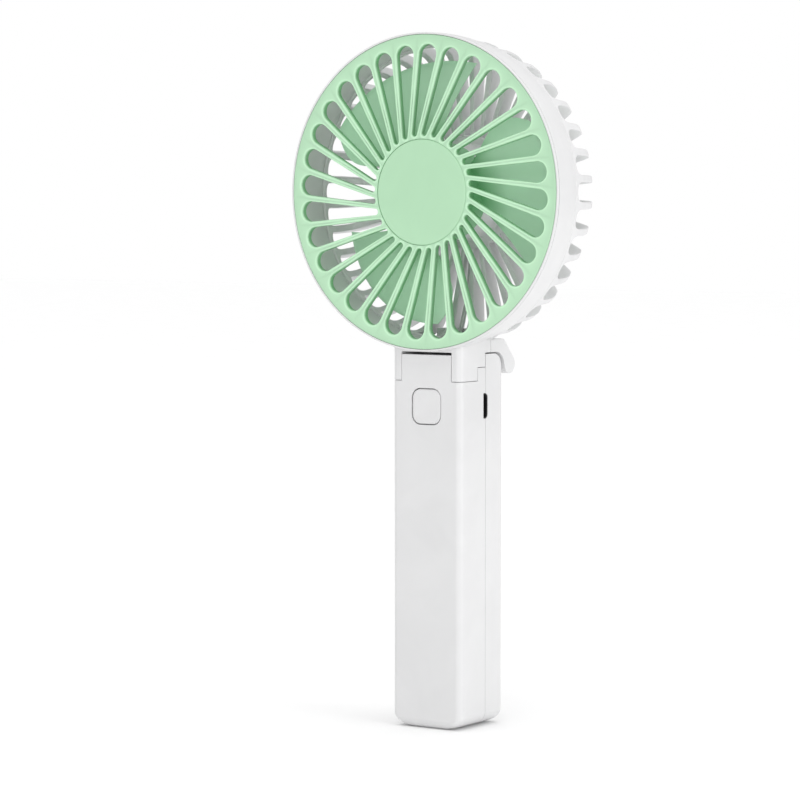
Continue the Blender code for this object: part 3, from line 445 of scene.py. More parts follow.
def finish(name, obj, material, body, node, sharp=40.0, painted_shade=None):
    """Scale to metres, shade, colour, and let the piece stand for its CAD node.

    The last argument, given a point in millimetres, says how much painted shade darkens the colour there, up
    to 1.
    """
    weld(obj, 0.001, degenerate=0.0005, outward=True)
    obj.data.transform(Matrix.Scale(MM, 4))
    obj.name = name
    obj.data.name = name
    obj.data.materials.clear()
    obj.data.materials.append(material)
    shade(obj.data, radians(sharp))
    if "painted_light" not in obj.data.attributes:
        paint_edge_highlights(obj.data)
    # Painted shade: lowers the per-vertex painted light value, so the colour is painted darker there.
    if painted_shade:
        layer = obj.data.attributes["painted_light"]
        for vertex, item in zip(obj.data.vertices, layer.data):
            item.value = max(-1.0, item.value - painted_shade(vertex.co / MM))
    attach(obj, body)
    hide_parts(node)
    return obj


# ---------------------------- materials
def new_material(name):
    material = bpy.data.materials.new(name)
    material.use_nodes = True
    tree = material.node_tree
    return material, tree, tree.nodes["Principled BSDF"]


def node(tree, kind, **values):
    made = tree.nodes.new(kind)
    for key, value in values.items():
        setattr(made, key, value)
    return made


def object_place(tree):
    where = tree.nodes.get("Texture Coordinate") or tree.nodes.new("ShaderNodeTexCoord")
    return where.outputs["Object"]


def noise(tree, scale, detail=3.0, roughness=0.5, distortion=0.0):
    made = tree.nodes.new("ShaderNodeTexNoise")
    made.inputs["Scale"].default_value = scale
    made.inputs["Detail"].default_value = detail
    made.inputs["Roughness"].default_value = roughness
    made.inputs["Distortion"].default_value = distortion
    tree.links.new(object_place(tree), made.inputs["Vector"])
    return made.outputs["Fac"]


def remap(tree, source, low, high, from_low=0.3, from_high=0.7):
    made = tree.nodes.new("ShaderNodeMapRange")
    made.inputs["From Min"].default_value = from_low
    made.inputs["From Max"].default_value = from_high
    made.inputs["To Min"].default_value = low
    made.inputs["To Max"].default_value = high
    tree.links.new(source, made.inputs["Value"])
    return made.outputs["Result"]


def mix(tree, factor, first, second):
    """Blend two colours, each a tuple or a socket."""
    made = tree.nodes.new("ShaderNodeMix")
    made.data_type = "RGBA"
    tree.links.new(factor, made.inputs["Factor"])
    for socket, value in ((made.inputs[6], first), (made.inputs[7], second)):
        if isinstance(value, tuple):
            socket.default_value = (*value, 1.0)
        else:
            tree.links.new(value, socket)
    return made.outputs[2]


def bump(tree, shader, height, strength, distance, below=None):
    made = tree.nodes.new("ShaderNodeBump")
    made.inputs["Strength"].default_value = strength
    made.inputs["Distance"].default_value = distance
    tree.links.new(height, made.inputs["Height"])
    if below is not None:
        tree.links.new(below, made.inputs["Normal"])
    tree.links.new(made.outputs["Normal"], shader.inputs["Normal"])
    return made.outputs["Normal"]


def paint(tree, shader, colour, roughness):
    tree.links.new(colour, shader.inputs["Base Color"])
    tree.links.new(roughness, shader.inputs["Roughness"])


def moulded(name, colour, highlight_colour, roughness, grain=0.10, coat=0.0):
    """Moulded plastic: spark-eroded grain, faint flow variation, painted highlight on convex edges, painted
    shade in recessed walls.
    """
    material, tree, shader = new_material(name)
    flow = noise(tree, 45.0, 4.0, 0.55, 0.6)
    darker = tuple(c * 0.955 for c in colour)
    base = mix(tree, remap(tree, flow, 0.0, 1.0, 0.35, 0.65), darker, colour)
    painted_light = node(tree, "ShaderNodeAttribute", attribute_name="painted_light")
    # Painted highlight: paler colour where the per-vertex painted light value is above 0.
    base = mix(tree, remap(tree, painted_light.outputs["Fac"], 0.0, 1.0, 0.0, 1.0), base, highlight_colour)
    # Painted shade: darker colour where that value is below 0.
    shaded_colour = tuple(c * share for c, share in zip(colour, PAINTED_SHADE_DEPTH))
    base = mix(tree, remap(tree, painted_light.outputs["Fac"], 1.0, 0.0, -1.0, 0.0), base, shaded_colour)
    rubbed = remap(tree, noise(tree, 160.0, 5.0, 0.6), roughness - 0.05, roughness + 0.06)
    paint(tree, shader, base, rubbed)
    fine = noise(tree, 3200.0, 2.0, 0.5)
    broad = noise(tree, 700.0, 3.0, 0.5)
    first = bump(tree, shader, fine, grain, 0.00004)
    bump(tree, shader, broad, grain * 0.8, 0.00008, first)
    shader.inputs["IOR"].default_value = 1.5
    shader.inputs["Coat Weight"].default_value = coat
    shader.inputs["Coat Roughness"].default_value = 0.25
    return material


def metal(name, colour, roughness, scratch=0.12, stretch=(1.0, 1.0, 1.0)):
    """Plated or drawn metal with fine directional marks and dulled patches."""
    material, tree, shader = new_material(name)
    squeeze = tree.nodes.new("ShaderNodeMapping")
    squeeze.inputs["Scale"].default_value = stretch
    tree.links.new(object_place(tree), squeeze.inputs["Vector"])
    marks = tree.nodes.new("ShaderNodeTexNoise")
    marks.inputs["Scale"].default_value = 1800.0
    marks.inputs["Detail"].default_value = 4.0
    tree.links.new(squeeze.outputs["Vector"], marks.inputs["Vector"])
    dull = noise(tree, 220.0, 4.0, 0.6)
    base = mix(tree, remap(tree, dull, 0.0, 1.0), tuple(c * 0.82 for c in colour), colour)
    paint(tree, shader, base, remap(tree, dull, roughness - 0.06, roughness + 0.12))
    bump(tree, shader, marks.outputs["Fac"], scratch, 0.00003)
    shader.inputs["Metallic"].default_value = 1.0
    return material


def insulation(name, colour):
    """Soft silicone sleeve: dull, with a faint dusty bloom."""
    material, tree, shader = new_material(name)
    bloom = noise(tree, 900.0, 4.0, 0.6)
    pale = tuple(min(1.0, c * 0.85 + 0.03) for c in colour)
    base = mix(tree, remap(tree, bloom, 0.0, 1.0), colour, pale)
    paint(tree, shader, base, remap(tree, bloom, 0.42, 0.58))
    bump(tree, shader, noise(tree, 2600.0, 2.0), 0.10, 0.00003)
    shader.inputs["Sheen Weight"].default_value = 0.08
    return material


def board_green():
    """Solder mask over copper tracks that show as paler, slightly raised lines."""
    material, tree, shader = new_material("board_green")
    tracks = node(tree, "ShaderNodeTexWave", wave_type="BANDS", bands_direction="X")
    tracks.inputs["Scale"].default_value = 260.0
    tracks.inputs["Distortion"].default_value = 5.0
    tracks.inputs["Detail"].default_value = 0.0
    tree.links.new(object_place(tree), tracks.inputs["Vector"])
    lines = remap(tree, tracks.outputs["Fac"], 0.0, 1.0, 0.62, 0.70)
    base = mix(tree, lines, (0.012, 0.12, 0.05), (0.03, 0.22, 0.09))
    paint(tree, shader, base, remap(tree, noise(tree, 500.0), 0.28, 0.42))
    bump(tree, shader, lines, 0.35, 0.00004)
    shader.inputs["Coat Weight"].default_value = 0.3
    return material


def cell_wrap():
    """Heat-shrink film: glossy, with shrink ripples across the cell."""
    material, tree, shader = new_material("cell_wrap")
    ripple = noise(tree, 240.0, 3.0, 0.5, 1.5)
    base = mix(tree, remap(tree, ripple, 0.0, 1.0), (0.06, 0.20, 0.44), (0.09, 0.27, 0.54))
    paint(tree, shader, base, remap(tree, ripple, 0.22, 0.34))
    bump(tree, shader, ripple, 0.25, 0.00015)
    shader.inputs["Coat Weight"].default_value = 0.4
    return material


def ferrite():
    """Sintered magnet: dark, dull and gritty."""
    material, tree, shader = new_material("magnet_grey")
    grit = noise(tree, 1500.0, 5.0, 0.7)
    base = mix(tree, remap(tree, grit, 0.0, 1.0), (0.045, 0.045, 0.05), (0.085, 0.085, 0.09))
    paint(tree, shader, base, remap(tree, grit, 0.5, 0.7))
    bump(tree, shader, grit, 0.3, 0.00006)
    return material


def copper_winding():
    """Enamelled wire, laid turn beside turn."""
    material, tree, shader = new_material("copper_wire")
    turns = node(tree, "ShaderNodeTexWave", wave_type="BANDS", bands_direction="DIAGONAL")
    turns.inputs["Scale"].default_value = 1400.0
    tree.links.new(object_place(tree), turns.inputs["Vector"])
    base = mix(tree, turns.outputs["Fac"], (0.36, 0.13, 0.045), (0.78, 0.37, 0.15))
    paint(tree, shader, base, remap(tree, noise(tree, 600.0), 0.28, 0.42))
    bump(tree, shader, turns.outputs["Fac"], 0.6, 0.00012)
    shader.inputs["Metallic"].default_value = 1.0
    return material


# Each moulded plastic's second colour is a painted highlight on its convex edges.
WHITE = moulded("white_plastic", (0.73, 0.73, 0.735), (0.83, 0.83, 0.83), 0.36)
MINT = moulded("mint_plastic", (0.455, 0.715, 0.485), (0.56, 0.86, 0.59), 0.40)
MINT_CAP = moulded("mint_cap_plastic", (0.452, 0.720, 0.480), (0.56, 0.86, 0.59), 0.38, 0.06, 0.05)
# The blades are the grille's mint plastic, painted lighter to stand in for light reaching them through the
# grille.
LIGHTENED_MINT_BLADE = moulded("mint_blade_plastic", (0.53, 0.84, 0.59), (0.62, 0.90, 0.66), 0.34, 0.05, 0.10)
BLACK = moulded("black_plastic", (0.012, 0.012, 0.013), (0.03, 0.03, 0.03), 0.48)
STEEL = metal("bright_steel", (0.62, 0.63, 0.65), 0.24)
MOTOR_STEEL = metal("motor_steel", (0.50, 0.51, 0.53), 0.36, 0.25, (1.0, 0.15, 1.0))
BRASS = metal("brass", (0.74, 0.54, 0.22), 0.28)
COPPER = copper_winding()
FERRITE = ferrite()
BOARD = board_green()
WRAP = cell_wrap()
RED = insulation("red_lead", (0.55, 0.025, 0.025))
DARK = insulation("black_lead", (0.018, 0.018, 0.018))
PALE = insulation("white_lead", (0.70, 0.70, 0.70))

CARRIED_OVER = {
    STEEL: (*SCREWS, "hinge_pin", "battery_cap", "battery_tab_top", "battery_tab_bottom",
            "filter_capacitor", "motor_shaft"),
    MOTOR_STEEL: ("motor_can", "armature_core"),
    BRASS: ("motor_bush_front", "motor_bush_rear", "motor_terminal_red", "motor_terminal_black",
            "commutator"),
    COPPER: ("armature_coil_1", "armature_coil_2", "armature_coil_3"),
    FERRITE: ("boost_inductor", "motor_magnet"),
    BOARD: ("circuit_board",),
    WRAP: ("battery_cell",),
    RED: ("battery_lead_red",),
    DARK: ("battery_lead_black",),
    PALE: ("motor_lead_plus_lower", "motor_lead_plus_upper", "motor_lead_minus_lower",
           "motor_lead_minus_upper"),
    BLACK: ("charger_chip", "boost_chip", "usb_port_tongue", "switch_body", "motor_end_bell"),
    MINT_CAP: ("switch_plunger",),
}


def dress_cad_nodes():
    """Give the CAD nodes that stay their materials."""
    for material, names in CARRIED_OVER.items():
        for name in names:
            mesh = frame["nodes"][name].data
            mesh.materials.clear()
            mesh.materials.append(material)


# ---------------------------- handle
def rounding(share):
    """How far a quarter round is still set back, as a share of its width, at a share of its height."""
    return 1.0 - sqrt(max(0.0, 1.0 - (1.0 - min(share, 1.0)) ** 2))


def handle_ring(z, half_x, front, rear):
    return [(x, y, z) for x, y in rounded_rect(-half_x, half_x, front, rear, HANDLE_EDGE)]


def handle_block():
    """The handle's full outer form, before it is parted and hollowed."""
    rings = []
    for step in range(15):
        z = BASE_CORNER_Z * (1.0 - cos(0.5 * pi * step / 14))
        inset_x = BASE_CORNER_X * rounding(z / BASE_CORNER_Z)
        inset_y = BASE_ROUND_Y * rounding(z / BASE_ROUND_Y)
        rings.append(handle_ring(z, HALF_X - inset_x, -HALF_Y + inset_y, HALF_Y - inset_y))
    for step in range(13):
        angle = 0.5 * pi * step / 12
        z = HANDLE_TOP - TOP_ROUND + TOP_ROUND * sin(angle)
        rear = HALF_Y - TOP_ROUND + TOP_ROUND * cos(angle)
        rings.append(handle_ring(z, HALF_X, -HALF_Y, rear))
    return loft(rings)


def handle_cavity():
    lower = rounded_rect(-HALF_X + WALL, HALF_X - WALL, -HALF_Y + WALL, HALF_Y - WALL, 1.2, 3)
    upper = box(-TONGUE_HALF_X + WALL, TONGUE_HALF_X - WALL, -HALF_Y + WALL, HALF_Y - WALL - 2.3,
                CAVITY_SHOULDER - 1.0, HANDLE_TOP - 1.85)
    return join(prism(lower, "Z", CAVITY_FLOOR, CAVITY_SHOULDER), upper)


def port_outline(inset, radius):
    """The charging port's mouth, wide towards the front, in Y and Z, with its corners rounded."""
    flat, wide, narrow = 1.25 - inset, 4.0 - inset, 3.2 - inset
    corners = [(-flat, -wide), (0.2, -wide), (flat, -narrow), (flat, narrow), (0.2, wide), (-flat, wide)]
    aside = 10.0              # rounded_profile leaves corners on its axis alone, so the outline moves off it
    ring = rounded_profile([(y + aside, z) for y, z in corners], radius)
    return [(SEAM_Y + y - aside, PORT_Z + z) for y, z in ring]


def port_cutter():
    return prism(port_outline(0.0, 0.35), "X", HALF_X - WALL - 1.0, HALF_X + 1.0)


def usb_port():
    """The socket's black moulding, which lines the mouth in the handle's side up to its rounded edge."""
    lining = prism(port_outline(0.05, 0.3), "X", port_low.x, HALF_X - 0.12)
    socket = cut(lining, prism(port_outline(0.37, 0.3), "X", port_low.x + 0.4, HALF_X + 1.0))
    return finish("usb_socket", bevel(socket, 0.06, 2), BLACK, "handle", "usb_port_shell")


def button_outline(grow):
    """The button's rounded square in X and Z, grown or shrunk; well inside, its corners stay just round."""
    half_w, half_h = BUTTON_W / 2 + grow, BUTTON_H / 2 + grow
    corner = max(BUTTON_CORNER + grow, 0.05)
    return rounded_rect(-half_w, half_w, BUTTON_Z - half_h, BUTTON_Z + half_h, corner, 10)


def handle_front_shell():
    reach = 2.0 * HALF_X
    shell = cut(handle_block(), handle_cavity(),
                box(-reach, reach, SEAM_Y - HAIRLINE, reach, -5.0, HANDLE_TOP + 5.0))
    for side in (-1.0, 1.0):
        x0, x1 = sorted((side * TONGUE_HALF_X, side * reach))
        cut(shell, box(x0, x1, -reach, RECESS_STEP_Y, RECESS_FRONT_Z, HANDLE_TOP + 5.0),
            box(x0, x1, RECESS_STEP_Y - 1.0, reach, RECESS_REAR_Z, HANDLE_TOP + 5.0))
    cut(shell, prism(button_outline(0.5 * GAP), "Y", -HALF_Y - 1.0, -HALF_Y + WALL + 1.0), port_cutter())
    for z in SCREW_Z:
        join(shell, rod("Y", (0.0, 0.0, z), SCREW_POST_R, -HALF_Y + WALL - 0.5, SEAM_Y - 0.4))
    bevel(shell)
    for z in SCREW_Z:
        cut(shell, rod("Y", (0.0, 0.0, z), SCREW_PILOT_R, -HALF_Y + WALL + 1.0, SEAM_Y, 24))
    return finish("handle_front_skin", shell, WHITE, "handle", "handle_front_shell")


def handle_rear_shell():
    reach = 2.0 * HALF_X
    shell = cut(handle_block(), handle_cavity(),
                box(-reach, reach, -reach, SEAM_Y + HAIRLINE, -5.0, HANDLE_TOP + 5.0), port_cutter())
    web = arc((HINGE_Y, HINGE_Z), KNUCKLE_R, -0.5 * pi, 0.82 * pi, 40)
    web += [(HALF_Y - 1.5, web[-1][1]), (HALF_Y - 1.0, HINGE_Z - KNUCKLE_R)]
    join(shell, prism(web, "X", -KNUCKLE_HALF_MID, KNUCKLE_HALF_MID))
    for z in SCREW_Z:
        join(shell, rod("Y", (0.0, 0.0, z), SCREW_BOSS_R, SEAM_Y + 0.4, HALF_Y - WALL + 0.5))
        cut(shell, rod("Y", (0.0, 0.0, z), SCREW_WELL_R, SCREW_SEAT_Y, HALF_Y + 1.0))
    bevel(shell)
    for z in SCREW_Z:
        cut(shell, rod("Y", (0.0, 0.0, z), SCREW_CLEAR_R, SEAM_Y, HALF_Y, 24))
    cut(shell, rod("X", (0.0, HINGE_Y, HINGE_Z), PIN_R + PIN_FIT, -reach, reach, 32),
        rod("Z", (0.0, LEAD_BORE_Y, 0.0), LEAD_BORE_R, HANDLE_TOP - 3.0, HANDLE_TOP + 1.0, 32))
    return finish("handle_rear_skin", shell, WHITE, "handle", "handle_rear_shell")


def button_cap():
    """A flat cap with a soft edge and a shallow finger dish."""
    face = button_low.y
    wall_rear = -HALF_Y + WALL
    edge = -0.5 * GAP
    dish = ((-4.6, 0.16), (-3.6, 0.13), (-2.6, 0.08), (-1.7, 0.03), (-1.0, 0.0))
    side = ((-0.55, 0.01), (-0.30, 0.07), (-0.12, 0.18), (-0.03, 0.32), (0.0, 0.5), (0.0, WALL + 0.7))
    cap = loft([[(x, face + depth, z) for x, z in button_outline(edge + grow)]
                for grow, depth in dish + side])
    flange = prism(button_outline(1.0), "Y", wall_rear + 0.15, wall_rear + 0.95)
    stem = rod("Y", (0.0, 0.0, BUTTON_Z), 1.9, wall_rear + 0.5, button_high.y)
    return finish("button_face", join(cap, flange, stem), WHITE, "button", "button_cap")


# ---------------------------- head
def neck_front():
    """Front half of the neck, whose two arms straddle the handle's tongue."""
    arm_step, arm_rear, step_rear = RECESS_REAR_Z + LINE, RECESS_STEP_Y - LINE, SEAM_Y - LINE
    rear, top = NECK_SPLIT_Y - HAIRLINE, NECK_TOP
    outline = [(-HALF_Y, ARM_LOW), (arm_rear, ARM_LOW), (arm_rear, arm_step), (step_rear, arm_step),
               (step_rear, NECK_UNDER), (rear, NECK_UNDER), (rear, top), (-HALF_Y, top)]
    neck = prism(outline, "X", -HALF_X, HALF_X)
    column = rounded_rect(-HALF_X, HALF_X, -HALF_Y, HALF_Y, HANDLE_EDGE)
    combine(neck, prism(column, "Z", ARM_LOW - 5.0, HEAD_Z), "INTERSECT")
    arm_inner = TONGUE_HALF_X + LINE
    cut(neck, box(-arm_inner, arm_inner, -HALF_Y - 5.0, step_rear, ARM_LOW - 5.0, NECK_UNDER_FRONT))
    bevel(neck)
    axis = (0.0, FRONT_Y, HEAD_Z)
    bore = rod("Y", axis, HOUSING_BORE_R + 1.0, 0.0, HOUSING_DEPTH + 5.0, HEAD_SEGMENTS)
    behind = rod("Y", axis, HOUSING_REAR_R - 0.4, HOUSING_DEPTH + HAIRLINE, 60.0, HEAD_SEGMENTS)
    return cut(neck, bore, behind)


def head_housing():
    """The ring round the grille, grooved just behind its front lip, with the neck's front half."""
    lip = [(-0.6, -1.7), (-0.58, -1.88), (-0.5, -1.97), (-0.3, GRILLE_FRONT), (-0.15, -1.97),
           (-0.03, -1.85), (0.0, -1.6)]
    groove = [(0.0, -1.3), (-0.28, -1.2), (-0.28, -0.98), (0.0, -0.88)]
    band = [(-0.01, 2.2), (-0.1, 4.0), (-0.27, 5.8), (-0.5, 7.5), (-0.75, 9.0), (-1.03, 10.4),
            (-1.15, HOUSING_DEPTH)]
    profile = [(HOUSING_R + out, depth) for out, depth in lip + groove + band]
    profile += [(HOUSING_BORE_R + 0.1, HOUSING_DEPTH), (HOUSING_BORE_R, HOUSING_DEPTH - 0.1),
                (HOUSING_BORE_R, HOUSING_LEDGE + 0.1), (HOUSING_BORE_R + 0.1, HOUSING_LEDGE),
                (HOUSING_R - 0.7, HOUSING_LEDGE), (HOUSING_R - 0.6, HOUSING_LEDGE - 0.1)]
    housing = lathe(profile, HEAD_SEGMENTS)
    return finish("head_ring", join(housing, neck_front()), WHITE, "head", "head_housing")


GUARD_EDGES = (  # inner (radius, depth) and outer (radius, depth) of a fin, from rim to boss
    ((45.4, HOUSING_DEPTH + HAIRLINE), (HOUSING_REAR_R, HOUSING_DEPTH + HAIRLINE)),
    ((45.4, 12.0), (48.2, 12.0)),
    ((45.2, 14.5), (47.9, 17.0)),
    ((44.2, 17.5), (47.2, 20.8)),
    ((42.3, 20.0), (45.6, 24.6)),
    ((38.5, 21.4), (42.8, 27.3)),
    ((29.0, 22.9), (31.0, 28.7)),
    ((FIN_INNER_R, 24.4), (FIN_INNER_R, 29.5)),
)


def guard_edge(side, t):
    """A smooth curve through the guard's stations; side 0 is the inner edge, 1 the outer."""
    last = len(GUARD_EDGES) - 1
    k = min(int(t), last - 1)
    f = t - k
    p = [Vector(GUARD_EDGES[min(max(k + d, 0), last)][side]) for d in (-1, 0, 1, 2)]
    return 0.5 * (2 * p[1] + (p[2] - p[0]) * f + (2 * p[0] - 5 * p[1] + 4 * p[2] - p[3]) * f * f
                  + (3 * p[1] - p[0] - 3 * p[2] + p[3]) * f ** 3)


def guard_ribs():
    """Rim and fins in one closed mesh; each gap starts with a round end at the rim."""
    gap_steps, fin_rows = 12, 30
    last = len(GUARD_EDGES) - 1
    half_gap = 0.5 * FIN_PITCH * HOUSING_REAR_R - 0.5 * FIN_THICK_RIM
    columns = []    # a fin's side: (centre angle, -1 or 1, None); in a gap: (centre, offset in mm, reach)
    for fin in range(FINS):
        centre = FIN_PITCH * (fin + 0.5)
        columns.append((centre, -1.0, None))
        columns.append((centre, 1.0, None))
        for i in range(1, gap_steps):
            turn = pi * i / gap_steps
            columns.append((centre + 0.5 * FIN_PITCH, -cos(turn) * half_gap, 1.0 - sin(turn)))
    verts, key = [], {}

    def place(column, row, side, radius, depth, angle):
        key[column, row, side] = len(verts)
        verts.append((radius * sin(angle), FRONT_Y + depth, HEAD_Z + radius * cos(angle)))

    for c, (centre, offset, reach) in enumerate(columns):
        rows = [0.0, 1.0 + GAP_ROUND * (1.0 if reach is None else reach)]
        if reach is None:
            rows += [rows[1] + (last - rows[1]) * (k + 1) / fin_rows for k in range(fin_rows)]
        for row, t in enumerate(rows):
            for side in (0, 1):
                radius, depth = guard_edge(side, t)
                if reach is None:
                    share = (radius - FIN_INNER_R) / (HOUSING_REAR_R - FIN_INNER_R)
                    half = 0.5 * (FIN_THICK_BOSS + (FIN_THICK_RIM - FIN_THICK_BOSS) * share)
                    place(c, row, side, radius, depth, centre + offset * asin(half / radius))
                else:
                    place(c, row, side, radius, depth, centre + offset / HOUSING_REAR_R)
    faces = []
    count = len(columns)
    for c, (_, offset, reach) in enumerate(columns):
        n = (c + 1) % count
        fin = reach is None and offset < 0.0
        faces.append((key[c, 0, 0], key[n, 0, 0], key[n, 0, 1], key[c, 0, 1]))
        for row in range(fin_rows + 1 if fin else 1):
            for side in (0, 1):
                faces.append((key[c, row, side], key[n, row, side],
                              key[n, row + 1, side], key[c, row + 1, side]))
        if fin:
            for edge in (c, n):
                for row in range(1, fin_rows + 1):
                    faces.append((key[edge, row, 0], key[edge, row, 1], key[edge, row + 1, 1],
                                  key[edge, row + 1, 0]))
        end = fin_rows + 1 if fin else 1
        faces.append((key[c, end, 0], key[n, end, 0], key[n, end, 1], key[c, end, 1]))
    return mesh_object(verts, faces)


def guard_boss():
    """Motor cup and the disc where the fins meet."""
    floor_rear = CUP_FRONT + 1.2
    corners = [(CUP_MOUTH_R, CUP_FRONT), (CUP_R, CUP_FRONT), (CUP_R, BOSS_FRONT), (BOSS_R, BOSS_FRONT),
               (BOSS_R, BOSS_REAR), (CUP_BORE_R, BOSS_REAR), (CUP_BORE_R, floor_rear),
               (CUP_MOUTH_R, floor_rear)]
    return lathe(rounded_profile(corners, 0.7), 128)


def neck_rear():
    """Rear half of the neck, which curls over the handle's top edge to the hinge."""
    corner = (HALF_Y - TOP_ROUND, HANDLE_TOP - TOP_ROUND)
    under = arc(corner, TOP_ROUND + 0.4, 0.5 * pi, 0.04 * pi, 16)
    barrel = arc((HINGE_Y, HINGE_Z), KNUCKLE_R, -0.98 * pi, 0.24 * pi, 30)
    front = NECK_SPLIT_Y + HAIRLINE
    outline = [(front, NECK_UNDER)] + under + barrel + [(13.1, NECK_SHELF - 0.6), (12.4, NECK_SHELF),
                                                       (front, NECK_SHELF)]
    neck = prism(outline, "X", -HALF_X, HALF_X)
    notch = KNUCKLE_HALF_MID + GAP
    cut(neck, box(-notch, notch, 10.6, 25.0, 100.0, NECK_UNDER))
    join(neck, box(-9.0, 9.0, 7.3, 12.2, NECK_SHELF - 1.0, NECK_SHELF + 3.0))
    bevel(neck, 0.35)
    return cut(neck, rod("X", (0.0, HINGE_Y, HINGE_Z), PIN_R + PIN_FIT, pin_low.x - PIN_FIT,
                         pin_high.x + PIN_FIT, 32))


def rear_guard():
    guard = join(bevel(guard_ribs(), 0.42), guard_boss(), neck_rear())
    cut(guard, rod("Z", (0.0, LEAD_BORE_Y, 0.0), LEAD_BORE_R, NECK_UNDER - 1.0, HEAD_Z - 41.0, 32),
        box(-LEAD_SLOT_HALF, LEAD_SLOT_HALF, FRONT_Y + LEAD_SLOT_DEPTHS[0], FRONT_Y + LEAD_SLOT_DEPTHS[1],
            HEAD_Z - BOSS_R - 1.0, HEAD_Z - CUP_BORE_R + 1.0))
    return finish("guard_cage", guard, WHITE, "head", "rear_guard")


def motor_cover():
    rear = cover_high.y - FRONT_Y
    plug = CUP_BORE_R - 0.2
    corners = [(0.0, BOSS_REAR - 1.2), (10.6, BOSS_REAR - 1.2), (10.6, BOSS_REAR - 2.2),
               (plug, BOSS_REAR - 2.2), (plug, BOSS_REAR + 0.15), (14.0, BOSS_REAR + 0.15),
               (13.7, rear - 0.3), (11.0, rear - 0.1), (6.0, rear), (0.0, rear)]
    cover = lathe(rounded_profile(corners, 0.3), 96)
    return finish("motor_cap", cover, WHITE, "head", "motor_cover")


# ---------------------------- front grille
def slot_angle(radius):
    """Clockwise angle of the first slot's centre line at a radius."""
    return SLOT_PHASE + asin(SLOT_OFFSET / SLOT_OUTER_AT) - asin(SLOT_OFFSET / radius)


def polar(radius, angle):
    return Vector((radius * sin(angle), radius * cos(angle)))


def slot_ring():
    """One tapered slot: up its anticlockwise side, round the outer end, down the other, round the inner."""
    outer = polar(SLOT_OUTER_AT, slot_angle(SLOT_OUTER_AT))
    inner = polar(SLOT_INNER_AT, slot_angle(SLOT_INNER_AT))
    along = (outer - inner).normalized()
    across = Vector((-along.y, along.x))
    lean = asin((SLOT_OUTER_R - SLOT_INNER_R) / (outer - inner).length)

    def at(centre, radius, angle):
        return centre + radius * (cos(angle) * along + sin(angle) * across)

    left, right = 0.5 * pi + lean, -0.5 * pi - lean
    up = (at(inner, SLOT_INNER_R, left), at(outer, SLOT_OUTER_R, left))
    down = (at(outer, SLOT_OUTER_R, right), at(inner, SLOT_INNER_R, right))
    ring = [up[0].lerp(up[1], i / SIDE_STEPS) for i in range(SIDE_STEPS)]
    ring += [at(outer, SLOT_OUTER_R, left + (right - left) * i / OUTER_STEPS) for i in range(OUTER_STEPS)]
    ring += [down[0].lerp(down[1], i / SIDE_STEPS) for i in range(SIDE_STEPS)]
    ring += [at(inner, SLOT_INNER_R, right + TAU + (left - right - TAU) * i / INNER_STEPS)
             for i in range(INNER_STEPS)]
    return ring


def pitch_ring():
    """The boundary of one pitch, point for point beside the slot's ring."""
    spoke, corner = SPOKE_END_R - HUB_RECESS_R, PLATE_R - SPOKE_END_R
    arc_steps = OUTER_STEPS - 2 * CORNER_STEPS

    def at(radius, side):
        return polar(radius, slot_angle(radius) + side * 0.5 * SLOT_PITCH)

    ring = [at(HUB_RECESS_R + spoke * i / SIDE_STEPS, -1.0) for i in range(SIDE_STEPS)]
    for i in range(OUTER_STEPS):
        if i < CORNER_STEPS:
            ring.append(at(SPOKE_END_R + corner * CORNER_SHARES[i], -1.0))
        elif i <= CORNER_STEPS + arc_steps:
            ring.append(at(PLATE_R, -1.0 + 2.0 * (i - CORNER_STEPS) / arc_steps))
        else:
            ring.append(at(SPOKE_END_R + corner * CORNER_SHARES[OUTER_STEPS - i], 1.0))
    ring += [at(SPOKE_END_R - spoke * i / SIDE_STEPS, 1.0) for i in range(SIDE_STEPS)]
    ring += [at(HUB_RECESS_R, 1.0 - 2.0 * i / INNER_STEPS) for i in range(INNER_STEPS)]
    return ring


def ring_steps(length):
    """Distances from the slot's edge at which the front is sampled, close together at both edges."""
    scale = min(1.0, length / 1.9)
    near = (0.0, 0.04, 0.12, 0.24, 0.4, 0.6, 0.85)
    far = (0.75, 0.45, 0.22, 0.08, 0.0)
    return [scale * n for n in near] + [length - scale * f for f in far]


def grille_front(point, from_slot):
    """Depth of the front surface: rounded slot edge, raised rim round each slot, rounded border."""
    radius = point.length
    set_back = max(0.0, LIP_ROUND - from_slot)
    drop = LIP_ROUND - sqrt(LIP_ROUND ** 2 - set_back ** 2)
    fade = min(1.0, max(0.0, (from_slot - 0.55) / 0.7))
    rise = LIP_RISE * (1.0 - fade * fade * (3.0 - 2.0 * fade))
    border = max(0.0, radius - (PLATE_R - RIM_ROUND))
    border = RIM_ROUND - sqrt(max(0.0, RIM_ROUND ** 2 - border ** 2))
    return GRILLE_FRONT + drop - rise + border


def ridge_highlight(from_slot):
    """Painted highlight: 1 along the top of the raised rim, fading out on the plate."""
    return max(0.0, 1.0 - abs(from_slot - 0.45) / 0.75) ** 1.5


